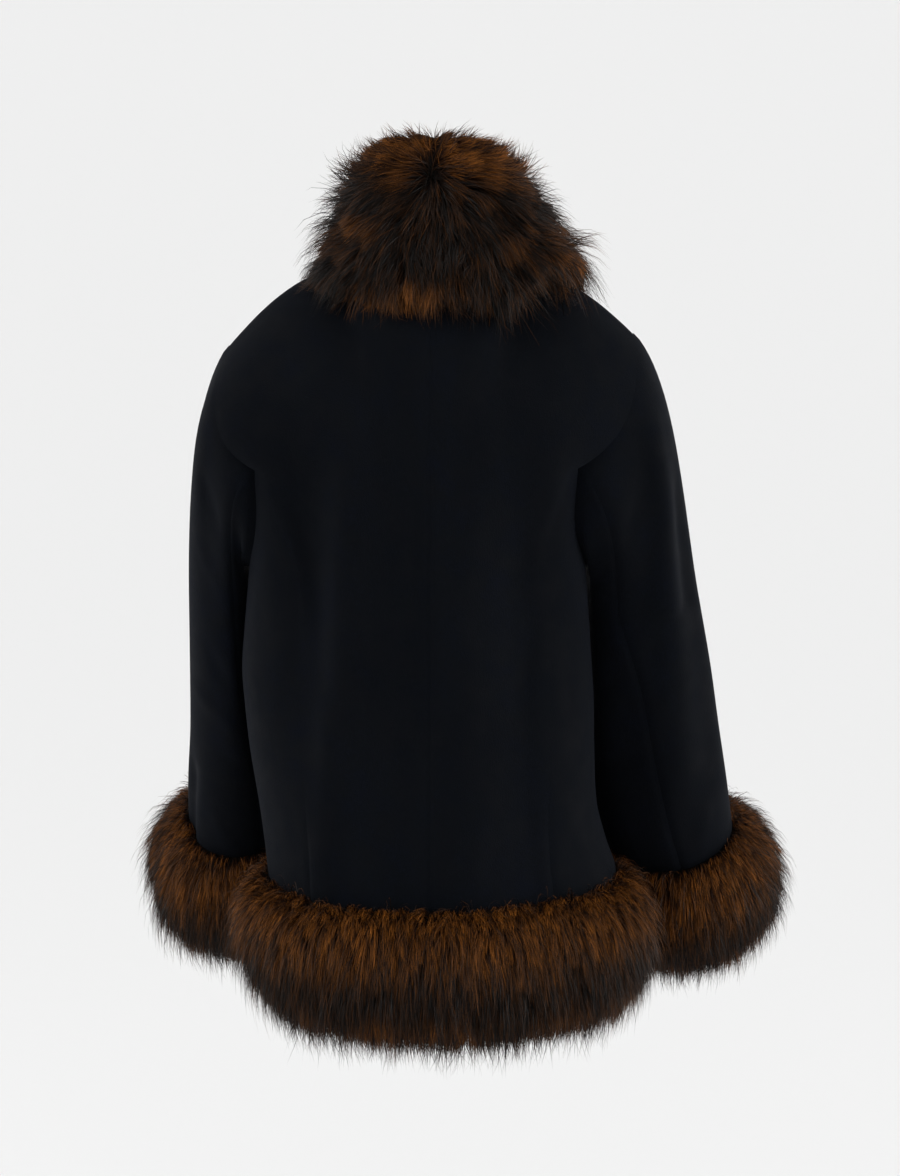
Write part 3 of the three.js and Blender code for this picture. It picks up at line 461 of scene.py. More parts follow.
def hem_press(angle):
    """Share of the hem fur's depth that is left beside the cuffs."""
    beside = np.abs(angle) / pi
    return 1 - 0.42 * ramp(beside, 0.4, 0.52) * (1 - ramp(beside, 0.74, 0.88))


def hem_fur_reach(point):
    """How far the sleeves keep from the body to clear the hem's fur."""
    angle = np.arctan2(point[..., 0], point[..., 1] - SIDE_LINE)
    down = hem_height(angle) - point[..., 2]
    share = (down + HEM_FUR["over"] + 24) / (HEM_FUR["band"] + HEM_FUR["below"] + HEM_FUR["over"] + 48)
    return (HEM_FUR["pile"] + 6) * hem_press(angle) * ramp(share, 0, 0.3) * ramp(1 - share, 0, 0.3)


def clear_of_body(point, clearance):
    """Moves points straight away from the body to clear it, less and less the further off they are."""
    x, y = point[..., 0], point[..., 1] - SIDE_LINE
    body = body_point(np.arctan2(x, y), point[..., 2])
    least = np.hypot(body[..., 0], body[..., 1] - SIDE_LINE) + clearance + hem_fur_reach(point)
    reach = np.hypot(x, y)
    spare = reach - least
    scale = (least + (spare + np.hypot(spare, 10)) / 2) / reach
    return stack(x * scale, SIDE_LINE + y * scale, point[..., 2])


def armhole(back, front, side):
    """The armhole's points from the shoulder down the back, under the arm and up the front, and the angle
    round the sleeve that each leads to: half a turn down to the underarm, by length, and half a turn up
    again. Also the places of the two notches, behind and before."""
    down, under, up = back[::-1], side, front
    loop = np.concatenate([down, under[1:], up[1:-1]])
    lengths = np.linalg.norm(np.roll(loop, -1, axis=0) - loop, axis=-1)
    before = np.concatenate([[0], np.cumsum(lengths)])
    at, total = before[:-1], before[-1]
    bottom = len(down) - 1 + (len(under) - 1) // 2
    angles = np.where(
        np.arange(len(loop)) <= bottom,
        pi * at / before[bottom],
        pi * (1 + (at - before[bottom]) / (total - before[bottom])),
    )
    return loop, angles, len(down) - 1, len(down) + len(under) - 2


def sleeve_turns(name, angles, hind, fore, way):
    """Angles round the sleeve at a way along it, spread so that its two seams lie where the table says."""
    seam = np.radians(follow(SLEEVES[name], SEAM, np.asarray(way, float)))
    k = np.arange(len(angles))
    first = mix(0, seam, angles / angles[hind])
    middle = mix(seam, radians(FRONT_SEAM), (angles - angles[hind]) / (angles[fore] - angles[hind]))
    last = mix(radians(FRONT_SEAM), 2 * pi, (angles - angles[fore]) / (2 * pi - angles[fore]))
    return np.where(k <= hind, first, np.where(k <= fore, middle, last))


def cap_rows(name, loop, flow, turn, t):
    """The sleeve's cap: each column leaves the armhole outwards, at the shoulder in the direction in
    which the back and the front flow into it, and turns down along the arm."""
    top_out, seam_out, under_out, top_up, under_up = CAP_LEAVES[name]
    end = sleeve_point(name, turn, np.zeros_like(turn))
    length = np.linalg.norm(end - loop, axis=-1, keepdims=True)
    up = mix(under_up, top_up, ramp(np.cos(turn), -1, 1))
    outer = mix(seam_out, top_out, ramp(np.cos(turn), -0.6, 1))
    outer = mix(outer, under_out, ramp(-np.cos(turn), 0.6, 1))
    leave = stack(SIDES[name] * outer, 0.3 * np.sin(turn), up)
    leave = mix(leave, CAP_FLOW * flow, 0.9 * ramp(np.cos(turn), -0.3, 0.35)[:, None])
    _, _, out, back = sleeve_frame(name, 0.0)
    arrive = unit(sleeve_point(name, turn, np.full_like(turn, 0.03)) - end)
    point = hermite(loop, leave * length, end, arrive * length, t[:, None, None])
    crease = sleeve_fold(name, turn[None, :], t[:, None] - 1)[..., None]
    point = point + out * crease * np.cos(turn)[:, None] + back * crease * np.sin(turn)[:, None]
    below = ramp(-point[..., 2], -BACK_NOTCH, 40 - BACK_NOTCH)
    return clear_of_body(point, mix(-CAP_SUNK, SLEEVE_CLEARANCE, below))


def creases(table, across, along):
    """The sum of soft ridges and troughs: each follows a bowed line, has a bell for its section and fades
    out at its ends. across and along are in the table's own units, widths in millimetres."""
    total = 0
    for x0, y0, x1, y1, bow, width, height in table:
        dx, dy = x1 - x0, y1 - y0
        length = np.hypot(dx, dy)
        t = ((across - x0) * dx + (along - y0) * dy) / length**2
        off = ((across - x0) * dy - (along - y0) * dx) / length + bow * 4 * t * (1 - t)
        fade = ramp(t, -0.05, 0.35) * (1 - ramp(t, 0.65, 1.05))
        total = total + height * bell(off / width) * fade
    return total


def distances(rows):
    """Millimetres along a grid from each point to its edges: first and last row, first and last column."""
    down = np.linalg.norm(np.diff(rows, axis=0), axis=-1)
    across = np.linalg.norm(np.diff(rows, axis=1), axis=-1)
    first = np.concatenate([np.zeros_like(rows[:1, :, 0]), np.cumsum(down, axis=0)])
    left = np.concatenate([np.zeros_like(rows[:, :1, 0]), np.cumsum(across, axis=1)], axis=1)
    return first, first[-1:] - first, left, left[:, -1:] - left


def seam_dip(distance, depth):
    """A sewn, pressed seam: a narrow trough with a low ridge beside it, over the allowance inside."""
    return -depth * bell(distance / SEAM_WIDTH) + 0.35 * depth * bell((distance - 9) / 4)


def cells(grid):
    """A grid's values at the four corners of its cells, in the order round each cell."""
    return grid[:-1, :-1], grid[:-1, 1:], grid[1:, 1:], grid[1:, :-1]


def cell_normals(rows, flip):
    """The outward normals of a grid's cells, twice as long as the cells' areas."""
    a, b, c, d = cells(rows)
    return np.cross(c - a, d - b) * flip


def shared_normals(grids):
    """Outward normals of all the grids, found together so that pieces share one direction at a seam."""
    points = np.concatenate([rows.reshape(-1, 3) for rows, _ in grids])
    _, merged = np.unique(np.round(points, 2), axis=0, return_inverse=True)
    merged = merged.ravel()
    sums = np.zeros((merged.max() + 1, 3))
    start = 0
    for rows, flip in grids:
        index = np.arange(start, start + rows[..., 0].size).reshape(rows.shape[:2])
        start += index.size
        for corner in cells(index):
            np.add.at(sums, merged[corner.ravel()], cell_normals(rows, flip).reshape(-1, 3))
    ends = np.cumsum([rows[..., 0].size for rows, _ in grids])[:-1]
    normals = np.split(unit(sums)[merged], ends)
    return [normal.reshape(rows.shape) for normal, (rows, _) in zip(normals, grids)]


def hex_colour(code):
    """An sRGB hex value as linear RGBA."""
    parts = [int(code[i : i + 2], 16) / 255 for i in (1, 3, 5)]
    return tuple(c / 12.92 if c <= 0.04045 else ((c + 0.055) / 1.055) ** 2.4 for c in parts) + (1.0,)


def new_material(name):
    material = bpy.data.materials.new(name)
    material.use_nodes = True
    return material, material.node_tree, material.node_tree.nodes["Principled BSDF"]


def set_inputs(tree, node, inputs):
    """Sets a node's inputs to values, or links them to the outputs of other nodes."""
    for key, value in inputs.items():
        if isinstance(value, bpy.types.NodeSocket):
            tree.links.new(value, node.inputs[key])
        else:
            node.inputs[key].default_value = value


def add_node(tree, kind, settings=None, inputs=None):
    """Adds a node and gives it its settings and its inputs."""
    node = tree.nodes.new(kind)
    for key, value in (settings or {}).items():
        setattr(node, key, value)
    set_inputs(tree, node, inputs or {})
    return node


def noise(tree, place, scale, detail, roughness=0.5):
    """Noise with as many waves to a metre, or to a unit of a stretched place, as the scale says."""
    return add_node(tree, "ShaderNodeTexNoise", inputs={
        "Vector": place, "Scale": scale, "Detail": detail, "Roughness": roughness}).outputs["Fac"]


def stretched(tree, place, scale):
    return add_node(tree, "ShaderNodeMapping", inputs={"Vector": place, "Scale": scale}).outputs["Vector"]


def weighted_sum(tree, a, factor, b):
    """The first value times a factor, plus the second value."""
    node = add_node(tree, "ShaderNodeMath", {"operation": "MULTIPLY_ADD"}, {0: a, 1: factor, 2: b})
    return node.outputs["Value"]


def remapped(tree, value, start, end, low=0.0, high=1.0):
    """A value that goes from low to high while the given one goes from start to end."""
    return add_node(tree, "ShaderNodeMapRange", inputs={
        "Value": value, "From Min": start, "From Max": end, "To Min": low, "To Max": high}).outputs["Result"]


def colour_ramp(tree, value, stops):
    """A colour by a value, from pairs of place and sRGB hex value."""
    node = add_node(tree, "ShaderNodeValToRGB", inputs={"Fac": value})
    elements = node.color_ramp.elements
    while len(elements) < len(stops):
        elements.new(0.5)
    for element, (place, code) in zip(elements, stops):
        element.position = place
        element.color = hex_colour(code)
    return node.outputs["Color"]


def make_mesh(name, points, quads, triangles=None, attributes=None):
    """A smooth mesh object from points in millimetres and corner indices, with float attributes."""
    mesh = bpy.data.meshes.new(name)
    corners = [quads.ravel()]
    totals = [np.full(len(quads), 4)]
    if triangles is not None:
        corners.append(triangles.ravel())
        totals.append(np.full(len(triangles), 3))
    corners, totals = np.concatenate(corners), np.concatenate(totals)
    mesh.vertices.add(len(points))
    mesh.vertices.foreach_set("co", (points * MM).astype(np.float32).ravel())
    mesh.loops.add(len(corners))
    mesh.loops.foreach_set("vertex_index", corners.astype(np.int32))
    mesh.polygons.add(len(totals))
    mesh.polygons.foreach_set("loop_start", (np.cumsum(totals) - totals).astype(np.int32))
    mesh.polygons.foreach_set("loop_total", totals.astype(np.int32))
    mesh.update(calc_edges=True)
    mesh.polygons.foreach_set("use_smooth", np.full(len(totals), True))
    for key, values in (attributes or {}).items():
        attribute = mesh.attributes.new(key, "FLOAT", "POINT")
        attribute.data.foreach_set("value", values.astype(np.float32))
    mesh.validate()
    return link(bpy.data.objects.new(name, mesh))


def link(thing):
    bpy.context.scene.collection.objects.link(thing)
    return thing


def grid_index(rows, columns, tube=False, ring=False):
    """A grid's point numbers; a tube repeats its first column at the end, and a ring its first row."""
    index = np.arange(rows * columns).reshape(rows, columns)
    if tube:
        index = np.concatenate([index, index[:, :1]], axis=1)
    if ring:
        index = np.concatenate([index, index[:1]], axis=0)
    return index


def grid_quads(index):
    return np.stack(cells(index), axis=-1).reshape(-1, 4)


def finish(piece, material, nodes):
    piece.data.materials.append(material)
    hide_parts(*nodes)
    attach(piece, "root")
    return piece


# Materials


def felted_wool():
    """Double-faced melton wool, woven, milled and sheared: a matt felt without visible weave, near black
    with a little navy, faintly mottled, with painted light and shade of soft drapes in long streaks, with
    short lying fibres and a soft lift at grazing angles."""
    material, tree, shader = new_material("melton_wool_milled")
    place = add_node(tree, "ShaderNodeTexCoord").outputs["Object"]
    # clouds of 25 mm where the milled surface is worn a little flatter
    cloud = noise(tree, place, 40.0, 3.0)
    # felted tufts, 1.6 mm apart; real ones are half of that, drawn coarser so that they show
    tuft = noise(tree, place, 620.0, 4.0, 0.7)
    # single fibres lying down the cloth, drawn 0.9 mm wide and five times as long
    fibre = noise(tree, stretched(tree, place, (1100.0, 1100.0, 220.0)), 1.0, 2.0)
    # painted light and shade of soft drapes: lighter and darker streaks down the cloth, 60 mm wide and 240 mm
    # long
    painted_drape_shade = noise(tree, stretched(tree, place, (17.0, 17.0, 4.2)), 1.0, 2.0)
    fine = weighted_sum(tree, fibre, 0.55, tuft)
    shade = weighted_sum(tree, weighted_sum(tree, cloud, 1.0, painted_drape_shade), 0.6, fine)
    set_inputs(tree, shader, {
        "Base Color": colour_ramp(tree, remapped(tree, shade, 1.0, 1.75), [
            (0.0, "#010206"), (0.5, "#030509"), (1.0, "#070a12")]),
        "Roughness": remapped(tree, cloud, 0.3, 0.7, 0.82, 0.97),
        "Normal": add_node(tree, "ShaderNodeBump", inputs={
            "Height": fine, "Strength": 0.5, "Distance": 0.0006}).outputs["Normal"],
        "Specular IOR Level": 0.07,
        "Sheen Weight": 0.04,
        "Sheen Roughness": 0.45,
        "Sheen Tint": hex_colour("#8d96ab"),
    })
    return material


def fur_fibre():
    """Long acrylic fur in two kinds of hair: soft rust-brown underfur and smoother near-black guard hair.
    Each hair is darker towards its root, partly its own colour and partly painted shade where little light
    gets down between the hairs, and each lock and hair has its own tone."""
    material, tree, shader = new_material("acrylic_fur_fibre")
    along, tone, brown = (
        add_node(tree, "ShaderNodeAttribute", {"attribute_name": name}).outputs["Fac"]
        for name in ("along", "tone", "brown"))
    # the underfur's colour along the hair, near black at the root: painted shade between the hairs
    soft = colour_ramp(tree, along, [
        (0.0, "#080402"), (0.35, "#331a07"), (0.75, "#744312"), (1.0, "#925a26")])
    # the guard hair's colour along the hair, darker at the root: painted shade between the hairs
    guard = colour_ramp(tree, along, [
        (0.0, "#030201"), (0.4, "#090604"), (0.7, "#070504"), (1.0, "#030303")])
    # the inputs numbered 6 and 7 and the output numbered 2 are the colours of this node
    mixed = add_node(tree, "ShaderNodeMix", {"data_type": "RGBA"}, {"Factor": brown, 6: guard, 7: soft})
    toned = add_node(tree, "ShaderNodeHueSaturation", inputs={
        "Value": remapped(tree, tone, 0.0, 1.0, 0.15, 1.75), "Color": mixed.outputs[2]})
    set_inputs(tree, shader, {
        "Base Color": toned.outputs["Color"],
        "Roughness": remapped(tree, brown, 0.0, 1.0, 0.36, 0.58),
        "Specular IOR Level": 0.1,
    })
    return material


def fur_ground():
    """The dense short fur between the long hairs, dark because no light gets down to it, with streaks of
    1.5 mm that lie the way the hair does."""
    material, tree, shader = new_material("acrylic_fur_ground")
    lie = add_node(tree, "ShaderNodeUVMap", {"uv_map": "lie"}).outputs["UV"]
    streak = noise(tree, stretched(tree, lie, (700.0, 60.0, 1.0)), 1.0, 3.0)
    set_inputs(tree, shader, {
        "Base Color": colour_ramp(tree, streak, [(0.3, "#030201"), (0.55, "#080502"), (0.75, "#120b05")]),
        "Normal": add_node(tree, "ShaderNodeBump", inputs={
            "Height": streak, "Strength": 0.8, "Distance": 0.002}).outputs["Normal"],
        "Roughness": 0.8,
        "Specular IOR Level": 0.05,
    })
    return material


# The wool

# Rows and columns of its grids
LOWER_ROWS = 70
UPPER_ROWS = 30
PANEL_COLUMNS = 40
SIDE_COLUMNS = 23
CAP_ROWS = 24
ARM_ROWS = 48

ARM_LENGTH = 285  # millimetres from the sleeve's first section to the cuff's seam

RISE = np.linspace(0, 1, LOWER_ROWS)
FULL_RISE = np.concatenate([RISE, 1 + np.linspace(0, 1, UPPER_ROWS)[1:]])


def facing(rows, side):
    """How squarely a body point faces back, for side 1, or front, for side -1."""
    return ramp(outwards(rows)[..., 1] * side, 0.1, 0.6)


def sleeve_grid(name, loop, flow, angles, hind, fore):
    """All the sleeve's rows from the armhole to the cuff, with each point's angle and way."""
    first = sleeve_turns(name, angles, hind, fore, 0.0)
    t = np.linspace(0, 1, CAP_ROWS)[1:]
    cap = cap_rows(name, loop, flow, first, t)
    way = np.linspace(0, 1, ARM_ROWS)[1:]
    turns = np.stack([sleeve_turns(name, angles, hind, fore, at) for at in way])
    arm = clear_of_body(sleeve_point(name, turns, way[:, None]), SLEEVE_CLEARANCE)
    rows = np.concatenate([loop[None], cap, arm])
    all_turns = np.concatenate([np.broadcast_to(first, (len(t) + 1, len(first))), turns])
    ways = np.concatenate([[-1.0], t - 1, way])[:, None] + 0 * all_turns
    return rows, all_turns, ways


def side_seam_depth(rows):
    """The side seams are pressed flat: they show near the hem, and hardly at all along the armhole."""
    return SEAM_DEPTH * mix(0.08, 0.9, ramp(-rows[..., 2], 470, 600))


def wool_surfaces():
    """Every wool piece as a dictionary: its rows, which way its faces turn, its seams' depths in the
    order first row, last row, first column, last column, and the height of its creases."""
    pieces = {}
    s, side_s = gathered(PANEL_COLUMNS)[None], gathered(SIDE_COLUMNS)[None]
    for name, sign in SIDES.items():
        back = body_panel(name, s, FULL_RISE[:, None], True)
        front = body_panel(name, s, FULL_RISE[:, None], False)
        side = side_panel(name, side_s, RISE[:, None])
        upper = LOWER_ROWS - 1
        loop, angles, hind, fore = armhole(back[upper:, -1], front[upper:, -1], side[-1])
        back_flow, front_flow = (unit(rows[upper:, -1] - rows[upper:, -2]) for rows in (back, front))
        under = np.tile([sign * 1.0, 0.0, 0.0], (SIDE_COLUMNS - 2, 1))
        flow = np.concatenate([back_flow[::-1], under, front_flow[:-1]])
        sleeve, turns, ways = sleeve_grid(name, loop, flow, angles, hind, fore)
        lines = SLEEVE_CREASES[name] * np.array([1, ARM_LENGTH, 1, ARM_LENGTH, 1, 1, 1])
        signed = np.where(turns > pi, turns - 2 * pi, turns)
        worn = creases(lines, np.degrees(signed), ways * ARM_LENGTH) * ramp(ways, -0.98, -0.8)
        outer, inner = np.r_[fore : len(angles), 0 : hind + 1], np.r_[hind : fore + 1]
        back_worn = creases(BACK_CREASES, back[..., 0], back[..., 2]) * facing(back, 1)
        front_worn = creases(FRONT_CREASES, front[..., 0], front[..., 2]) * facing(front, -1)
        d, soft = SEAM_DEPTH, 0.3 * SEAM_DEPTH
        sides = [side_seam_depth(rows) for rows in (back, front, side)]
        for part, rows, flip, seams, height in (
            ("back", back, -sign, (0, d, 0.7 * d, sides[0]), back_worn),
            ("front", front, sign, (0, d, 0, sides[1]), front_worn),
            ("side", side, -sign, (0, soft, sides[2], sides[2]), 0 * side[..., 0]),
            ("upper_sleeve", sleeve[:, outer], -sign, (soft, 0, d, d), worn[:, outer]),
            ("under_sleeve", sleeve[:, inner], -sign, (soft, 0, d, d), worn[:, inner]),
        ):
            pieces[f"{part}_{name}"] = {"rows": rows, "flip": flip, "seams": seams, "worn": height}
    return pieces


def sharpen_rim(mesh, rows, columns):
    """Marks a grid's outer edges as sharp, so that the cloth's cut edge does not shade its face."""
    at = np.zeros(2 * len(mesh.edges), np.int32)
    mesh.edges.foreach_get("vertices", at)
    row, column = np.divmod(at.reshape(-1, 2), columns)
    rim = np.zeros(len(mesh.edges), bool)
    for place, last in ((row, rows - 1), (column, columns - 1)):
        rim |= np.all(place == 0, axis=1) | np.all(place == last, axis=1)
    mesh.edges.foreach_set("use_edge_sharp", rim)


def make_wool(pieces, material):
    """A sheet of wool on each solid's form: the surface moved along its normals by seams and creases, and
    given the cloth's thickness inwards."""
    normals = shared_normals([(piece["rows"], piece["flip"]) for piece in pieces.values()])
    for (name, piece), normal in zip(pieces.items(), normals):
        rows = piece["rows"]
        sewn = [(far, depth) for far, depth in zip(distances(rows), piece["seams"]) if np.any(depth)]
        dips = [seam_dip(far, depth) for far, depth in sewn]
        seams = np.minimum.reduce(dips) + 0.3 * np.maximum.reduce(dips)
        clear = np.minimum.reduce([ramp(far, 4, 26) for far, _ in sewn])
        points = rows + normal * (seams + piece["worn"] * clear)[..., None]
        quads = grid_quads(grid_index(*rows.shape[:2]))
        quads = quads[:, ::-1] if piece["flip"] < 0 else quads
        sheet = make_mesh(f"{name}_wool", points.reshape(-1, 3), quads)
        sharpen_rim(sheet.data, *rows.shape[:2])
        shell = sheet.modifiers.new("thickness", "SOLIDIFY")
        shell.thickness = CLOTH * MM
        shell.offset = -1
        finish(sheet, material, [name])


# The fur

# The two kinds of hair: places along a hair, the shares of its width there up to its tip, and its width in
# millimetres on the bands and on the collar
HAIRS = {
    "underfur": {
        "places": np.array([0.0, 0.5, 1.0]), "shares": (1.0, 0.75), "band": 0.72, "collar": 0.75},
    "guard": {
        "places": np.array([0.0, 0.34, 0.67, 1.0]), "shares": (1.0, 0.9, 0.5), "band": 0.6, "collar": 0.6},
}

# How many hairs there are on the hem's two halves, on a cuff and on each half of the collar
HEM_HAIRS = {"back": {"underfur": 42000, "guard": 9000}, "front": {"underfur": 33000, "guard": 7000}}
CUFF_HAIRS = {"underfur": 30000, "guard": 6000}
COLLAR_HAIRS = {"underfur": 30000, "guard": 7500}

# How far hairs stray from their lay, and the size of a lock in millimetres
BAND_UNRULY, BAND_LOCK = 0.95, 8.0
COLLAR_UNRULY, COLLAR_LOCK = 1.7, 15.0


def close_section(points):
    """A smooth closed curve through control points along the first axis: Catmull-Rom cubics."""
    steps = np.linspace(0, 1, 5)[:-1]
    before, after = np.roll(points, 1, axis=0), np.roll(points, -1, axis=0)
    slope = (after - before) / 2
    spans = [hermite(points, slope, after, np.roll(slope, -1, axis=0), t) for t in steps]
    return np.stack(spans, axis=1).reshape(-1, *points.shape[1:])


def ground_piece(name, rows, ring, material, node):
    """The dense fur under the long hairs, a closed solid through sections; ring joins the last section to
    the first, and otherwise both ends are closed by fans."""
    sections, around = rows.shape[:2]
    index = grid_index(sections, around, tube=True, ring=ring)
    quads = grid_quads(index)
    points = rows.reshape(-1, 3)
    fans = None
    if not ring:
        start = np.full(around, len(points))
        fans = np.concatenate([
            np.stack([start, index[0, 1:], index[0, :-1]], axis=-1),
            np.stack([start + 1, index[-1, :-1], index[-1, 1:]], axis=-1),
        ])
        points = np.concatenate([points, [rows[0].mean(axis=0), rows[-1].mean(axis=0)]])
    a, b, c, d = (points[quads[:, k]] for k in range(4))
    if np.sum(a * np.cross(b, c)) + np.sum(a * np.cross(c, d)) < 0:
        quads = quads[:, ::-1]
        fans = None if fans is None else fans[:, ::-1]
    piece = make_mesh(name, points, quads, fans)
    run = np.concatenate([[0], np.cumsum(np.linalg.norm(np.diff(rows.mean(axis=1), axis=0), axis=-1))])
    down = np.linspace(0, 0.25, around)
    uv = np.stack(np.broadcast_arrays(run[:, None] * MM, down[None]), axis=-1).reshape(-1, 2)
    uv = np.concatenate([uv, np.zeros((2, 2))])
    corners = np.zeros(len(piece.data.loops), np.int32)
    piece.data.loops.foreach_get("vertex_index", corners)
    layer = piece.data.uv_layers.new(name="lie")
    layer.data.foreach_set("uv", uv[corners].astype(np.float32).ravel())
    return finish(piece, material, [node])


def scatter(rng, rows, flip, count, weight=None):
    """Roots spread over a grid by area, with their outward normals and their places in it from 0 to 1."""
    cross = cell_normals(rows, flip)
    area = np.linalg.norm(cross, axis=-1)
    if weight is not None:
        area = area * weight[:-1, :-1]
    chosen = rng.choice(area.size, count, p=(area / area.sum()).ravel())
    i, j = np.unravel_index(chosen, area.shape)
    u, v = rng.random((2, count))
    weights = [part[:, None] for part in ((1 - u) * (1 - v), (1 - u) * v, u * v, u * (1 - v))]

    def blend(grid):
        return sum(corner[i, j] * share for corner, share in zip(cells(grid), weights))

    normals = np.zeros_like(rows)
    for corner in cells(normals):
        corner += cross
    return blend(rows), unit(blend(unit(normals))), (i + u) / area.shape[0], (j + v) / area.shape[1]


def locks_of(root, size):
    """The lock that each hair belongs to, by cells of about that size, and the lock's mean root."""
    cell = np.floor((root + 0.35 * size * np.sin(root[:, [1, 2, 0]] / size * 1.7)) / size).astype(int)
    _, lock = np.unique(cell, axis=0, return_inverse=True)
    lock = lock.ravel()
    count = lock.max() + 1
    mean = np.stack([np.bincount(lock, root[:, k], count) for k in range(3)], axis=-1)
    return lock, count, (mean / np.bincount(lock, minlength=count)[:, None])[lock]


def bounded(rng, size):
    """Normal random numbers cut off at twice their spread, so that no hair strays far."""
    return np.clip(rng.normal(0, 1, size), -2, 2)


def make_hair(name, rng, word, root, normal, lay, length, lift, brown, width, material, node, unruly, size,
              floor=None):
    """Hairs as tapered ribbons in one mesh. A hair rises along the normal, quickly at first, bends over
    into its lay and draws towards the middle of its lock; brown is 1 for soft underfur and 0 for guard
    hair. A hair that would end outside HAIR_BOX is trimmed."""
    count = len(root)
    places, shares = HAIRS[word]["places"], HAIRS[word]["shares"]
    lock, locks, middle = locks_of(root, size)
    stray = (0.13 * bounded(rng, (locks, 3))[lock] + 0.09 * bounded(rng, (count, 3))) * unruly
    lay = unit(lay + stray)
    lay = unit(lay - normal * np.sum(lay * normal, axis=-1, keepdims=True) * 0.8)
    length = length * (1 + 0.07 * unruly * bounded(rng, locks)[lock]) * (1 + 0.1 * bounded(rng, count))
    lift = lift * (1 + 0.2 * unruly * bounded(rng, locks)[lock] + 0.16 * bounded(rng, count))
    lift = np.clip(lift, 0.05, 0.95)
    draw = (middle - root) * (unruly * np.clip(0.4 + 0.15 * bounded(rng, count), 0, 1))[:, None]
    t = places[:, None, None]
    rise = (1 - (1 - t) ** 2) * (length * lift)[:, None]
    reach = t**1.2 * (length * np.sqrt(1 - lift**2))[:, None]
    points = root + normal * rise + lay * reach + draw * t**1.5
    points[..., 2] -= 0.1 * length * places[:, None] ** 2
    far = points[-1] - root
    room = np.where(far > 0, HAIR_BOX[1] - root, root - HAIR_BOX[0])
    trim = np.min(np.clip(room / np.maximum(np.abs(far), 0.01), 0, 1), axis=-1)
    points = root + (points - root) * trim[:, None]
    if floor is not None:
        points[..., 2] = np.maximum(points[..., 2], floor(points[..., 0], points[..., 1]) + 0.8)
    tangent = unit(np.gradient(points, axis=0))
    side = unit(np.cross(tangent, normal))
    turn = rng.uniform(-0.9, 0.9, count)[:, None]
    side = side * np.cos(turn) + np.cross(tangent, side) * np.sin(turn)
    half = (width * (1 + 0.15 * bounded(rng, count)))[:, None] / 2
    edges = [points[k] + way * side[k] * half * share for k, share in enumerate(shares) for way in (-1, 1)]
    vertices = np.stack([*edges, points[-1]], axis=1)
    corners = len(edges) + 1
    base = np.arange(count)[:, None] * corners
    quads = np.concatenate([base + np.array([k, k + 1, k + 3, k + 2]) for k in range(0, corners - 3, 2)])
    tips = base + np.array([corners - 3, corners - 2, corners - 1])
    tone = np.clip(0.45 + 0.17 * bounded(rng, locks)[lock] + 0.2 * bounded(rng, count), 0, 1)
    piece = make_mesh(name, vertices.reshape(-1, 3), quads, tips, {
        "along": np.tile(np.append(np.repeat(places[:-1], 2), 1.0), count),
        "tone": np.repeat(tone, corners),
        "brown": np.repeat(brown, corners),
    })
    return finish(piece, material, [node])


def fur_profile(fur, share, belly):
    """Millimetres down from the seam and out of the cloth along a roll of fur, from its upper edge, sunk
    into the cloth, to its lower edge: half a superellipse. The larger its belly's exponent is, the lower the
    belly hangs."""
    way = (1 - np.cos(np.linspace(0, pi, 32))) / 2
    across = np.abs(2 * way**belly - 1)
    out = share * fur["pile"] * np.sqrt(np.maximum(1 - across**2.4, 0))
    out[0], out[-1] = -1, 0
    return mix(-0.5 * fur["over"], FUR_FOOT, way)[:, None], out[:, None]


def hem_surface(down, out, angle):
    """Points off the body's outside at a height below the hem seam, moved straight away from its middle."""
    edge = body_point(angle, hem_height(angle) - down)
    return edge + outwards(edge) * np.broadcast_to(out, edge.shape[:-1])[..., None]


def sleeve_unit(name):
    """Millimetres along the sleeve's middle for one unit of way near the cuff."""
    middle = sleeve_middle(name, np.array([1.0, 1.25]))
    return np.linalg.norm(middle[1] - middle[0]) / 0.25


def cuff_surface(name, down, out, turn):
    """Points off the sleeve's outside at a distance below its seam, kept clear of the body and hem."""
    way = 1 + down / sleeve_unit(name)
    clearance = np.where(np.broadcast_to(out, np.broadcast(down, turn).shape) > 1, 3, SLEEVE_CLEARANCE)
    return clear_of_body(sleeve_point(name, turn, way, out), clearance)


def cuff_press(turn):
    """Share of a cuff's depth that is left round it: all of it outwards, least towards the body."""
    return mix(0.62, 1, np.cos(turn / 2) ** 2)


def brown_bands(at, fur, turn):
    """How brown a band of fur is: most at the seam, little across the middle and more again near its
    edge, with uneven borders and gaps from waves round the band."""
    waves = np.sin(7 * turn + 1) + 0.8 * np.sin(17 * turn + 2.5) + 0.6 * np.sin(31 * turn)
    down = at / fur["band"] + 0.03 * waves
    gaps = np.clip(0.5 + 0.35 * np.sin(5 * turn + 0.6) + 0.3 * np.sin(13 * turn + 4), 0, 1)
    return mix(0.86, 0.06, ramp(down, 0.06, 0.46)) + 0.6 * gaps * bell((down - 0.76) / 0.1)


def coloured(rng, word, share):
    """Each hair's own brownness round its place's: guard hair is mostly dark."""
    if word == "guard":
        share = 0.4 * share
    return np.clip(share + 0.16 * bounded(rng, len(share)), 0, 1)


def band_hair(rng, name, word, root, normal, lay, at, fur, turn, press, material, node):
    """The hair of a hem or cuff: short and full at the seam, long and combed down over the belly, a
    little shorter again at the lower edge; guard hair is longer and stands further out."""
    guard = word == "guard"
    edge = 1 - ramp(at, -4, 18)
    lower = ramp(at, 0.62 * fur["band"], fur["band"])
    length = mix(mix(31, 20, edge), 27, lower) * press**0.4 * (1.45 if guard else 1)
    lift = mix(mix(0.34, 0.5, edge), 0.38, lower) * (1.15 if guard else 1)
    brown = coloured(rng, word, brown_bands(at, fur, turn))
    make_hair(name, rng, word, root, normal, lay, length, lift, brown, HAIRS[word]["band"], material, node,
              BAND_UNRULY, BAND_LOCK)


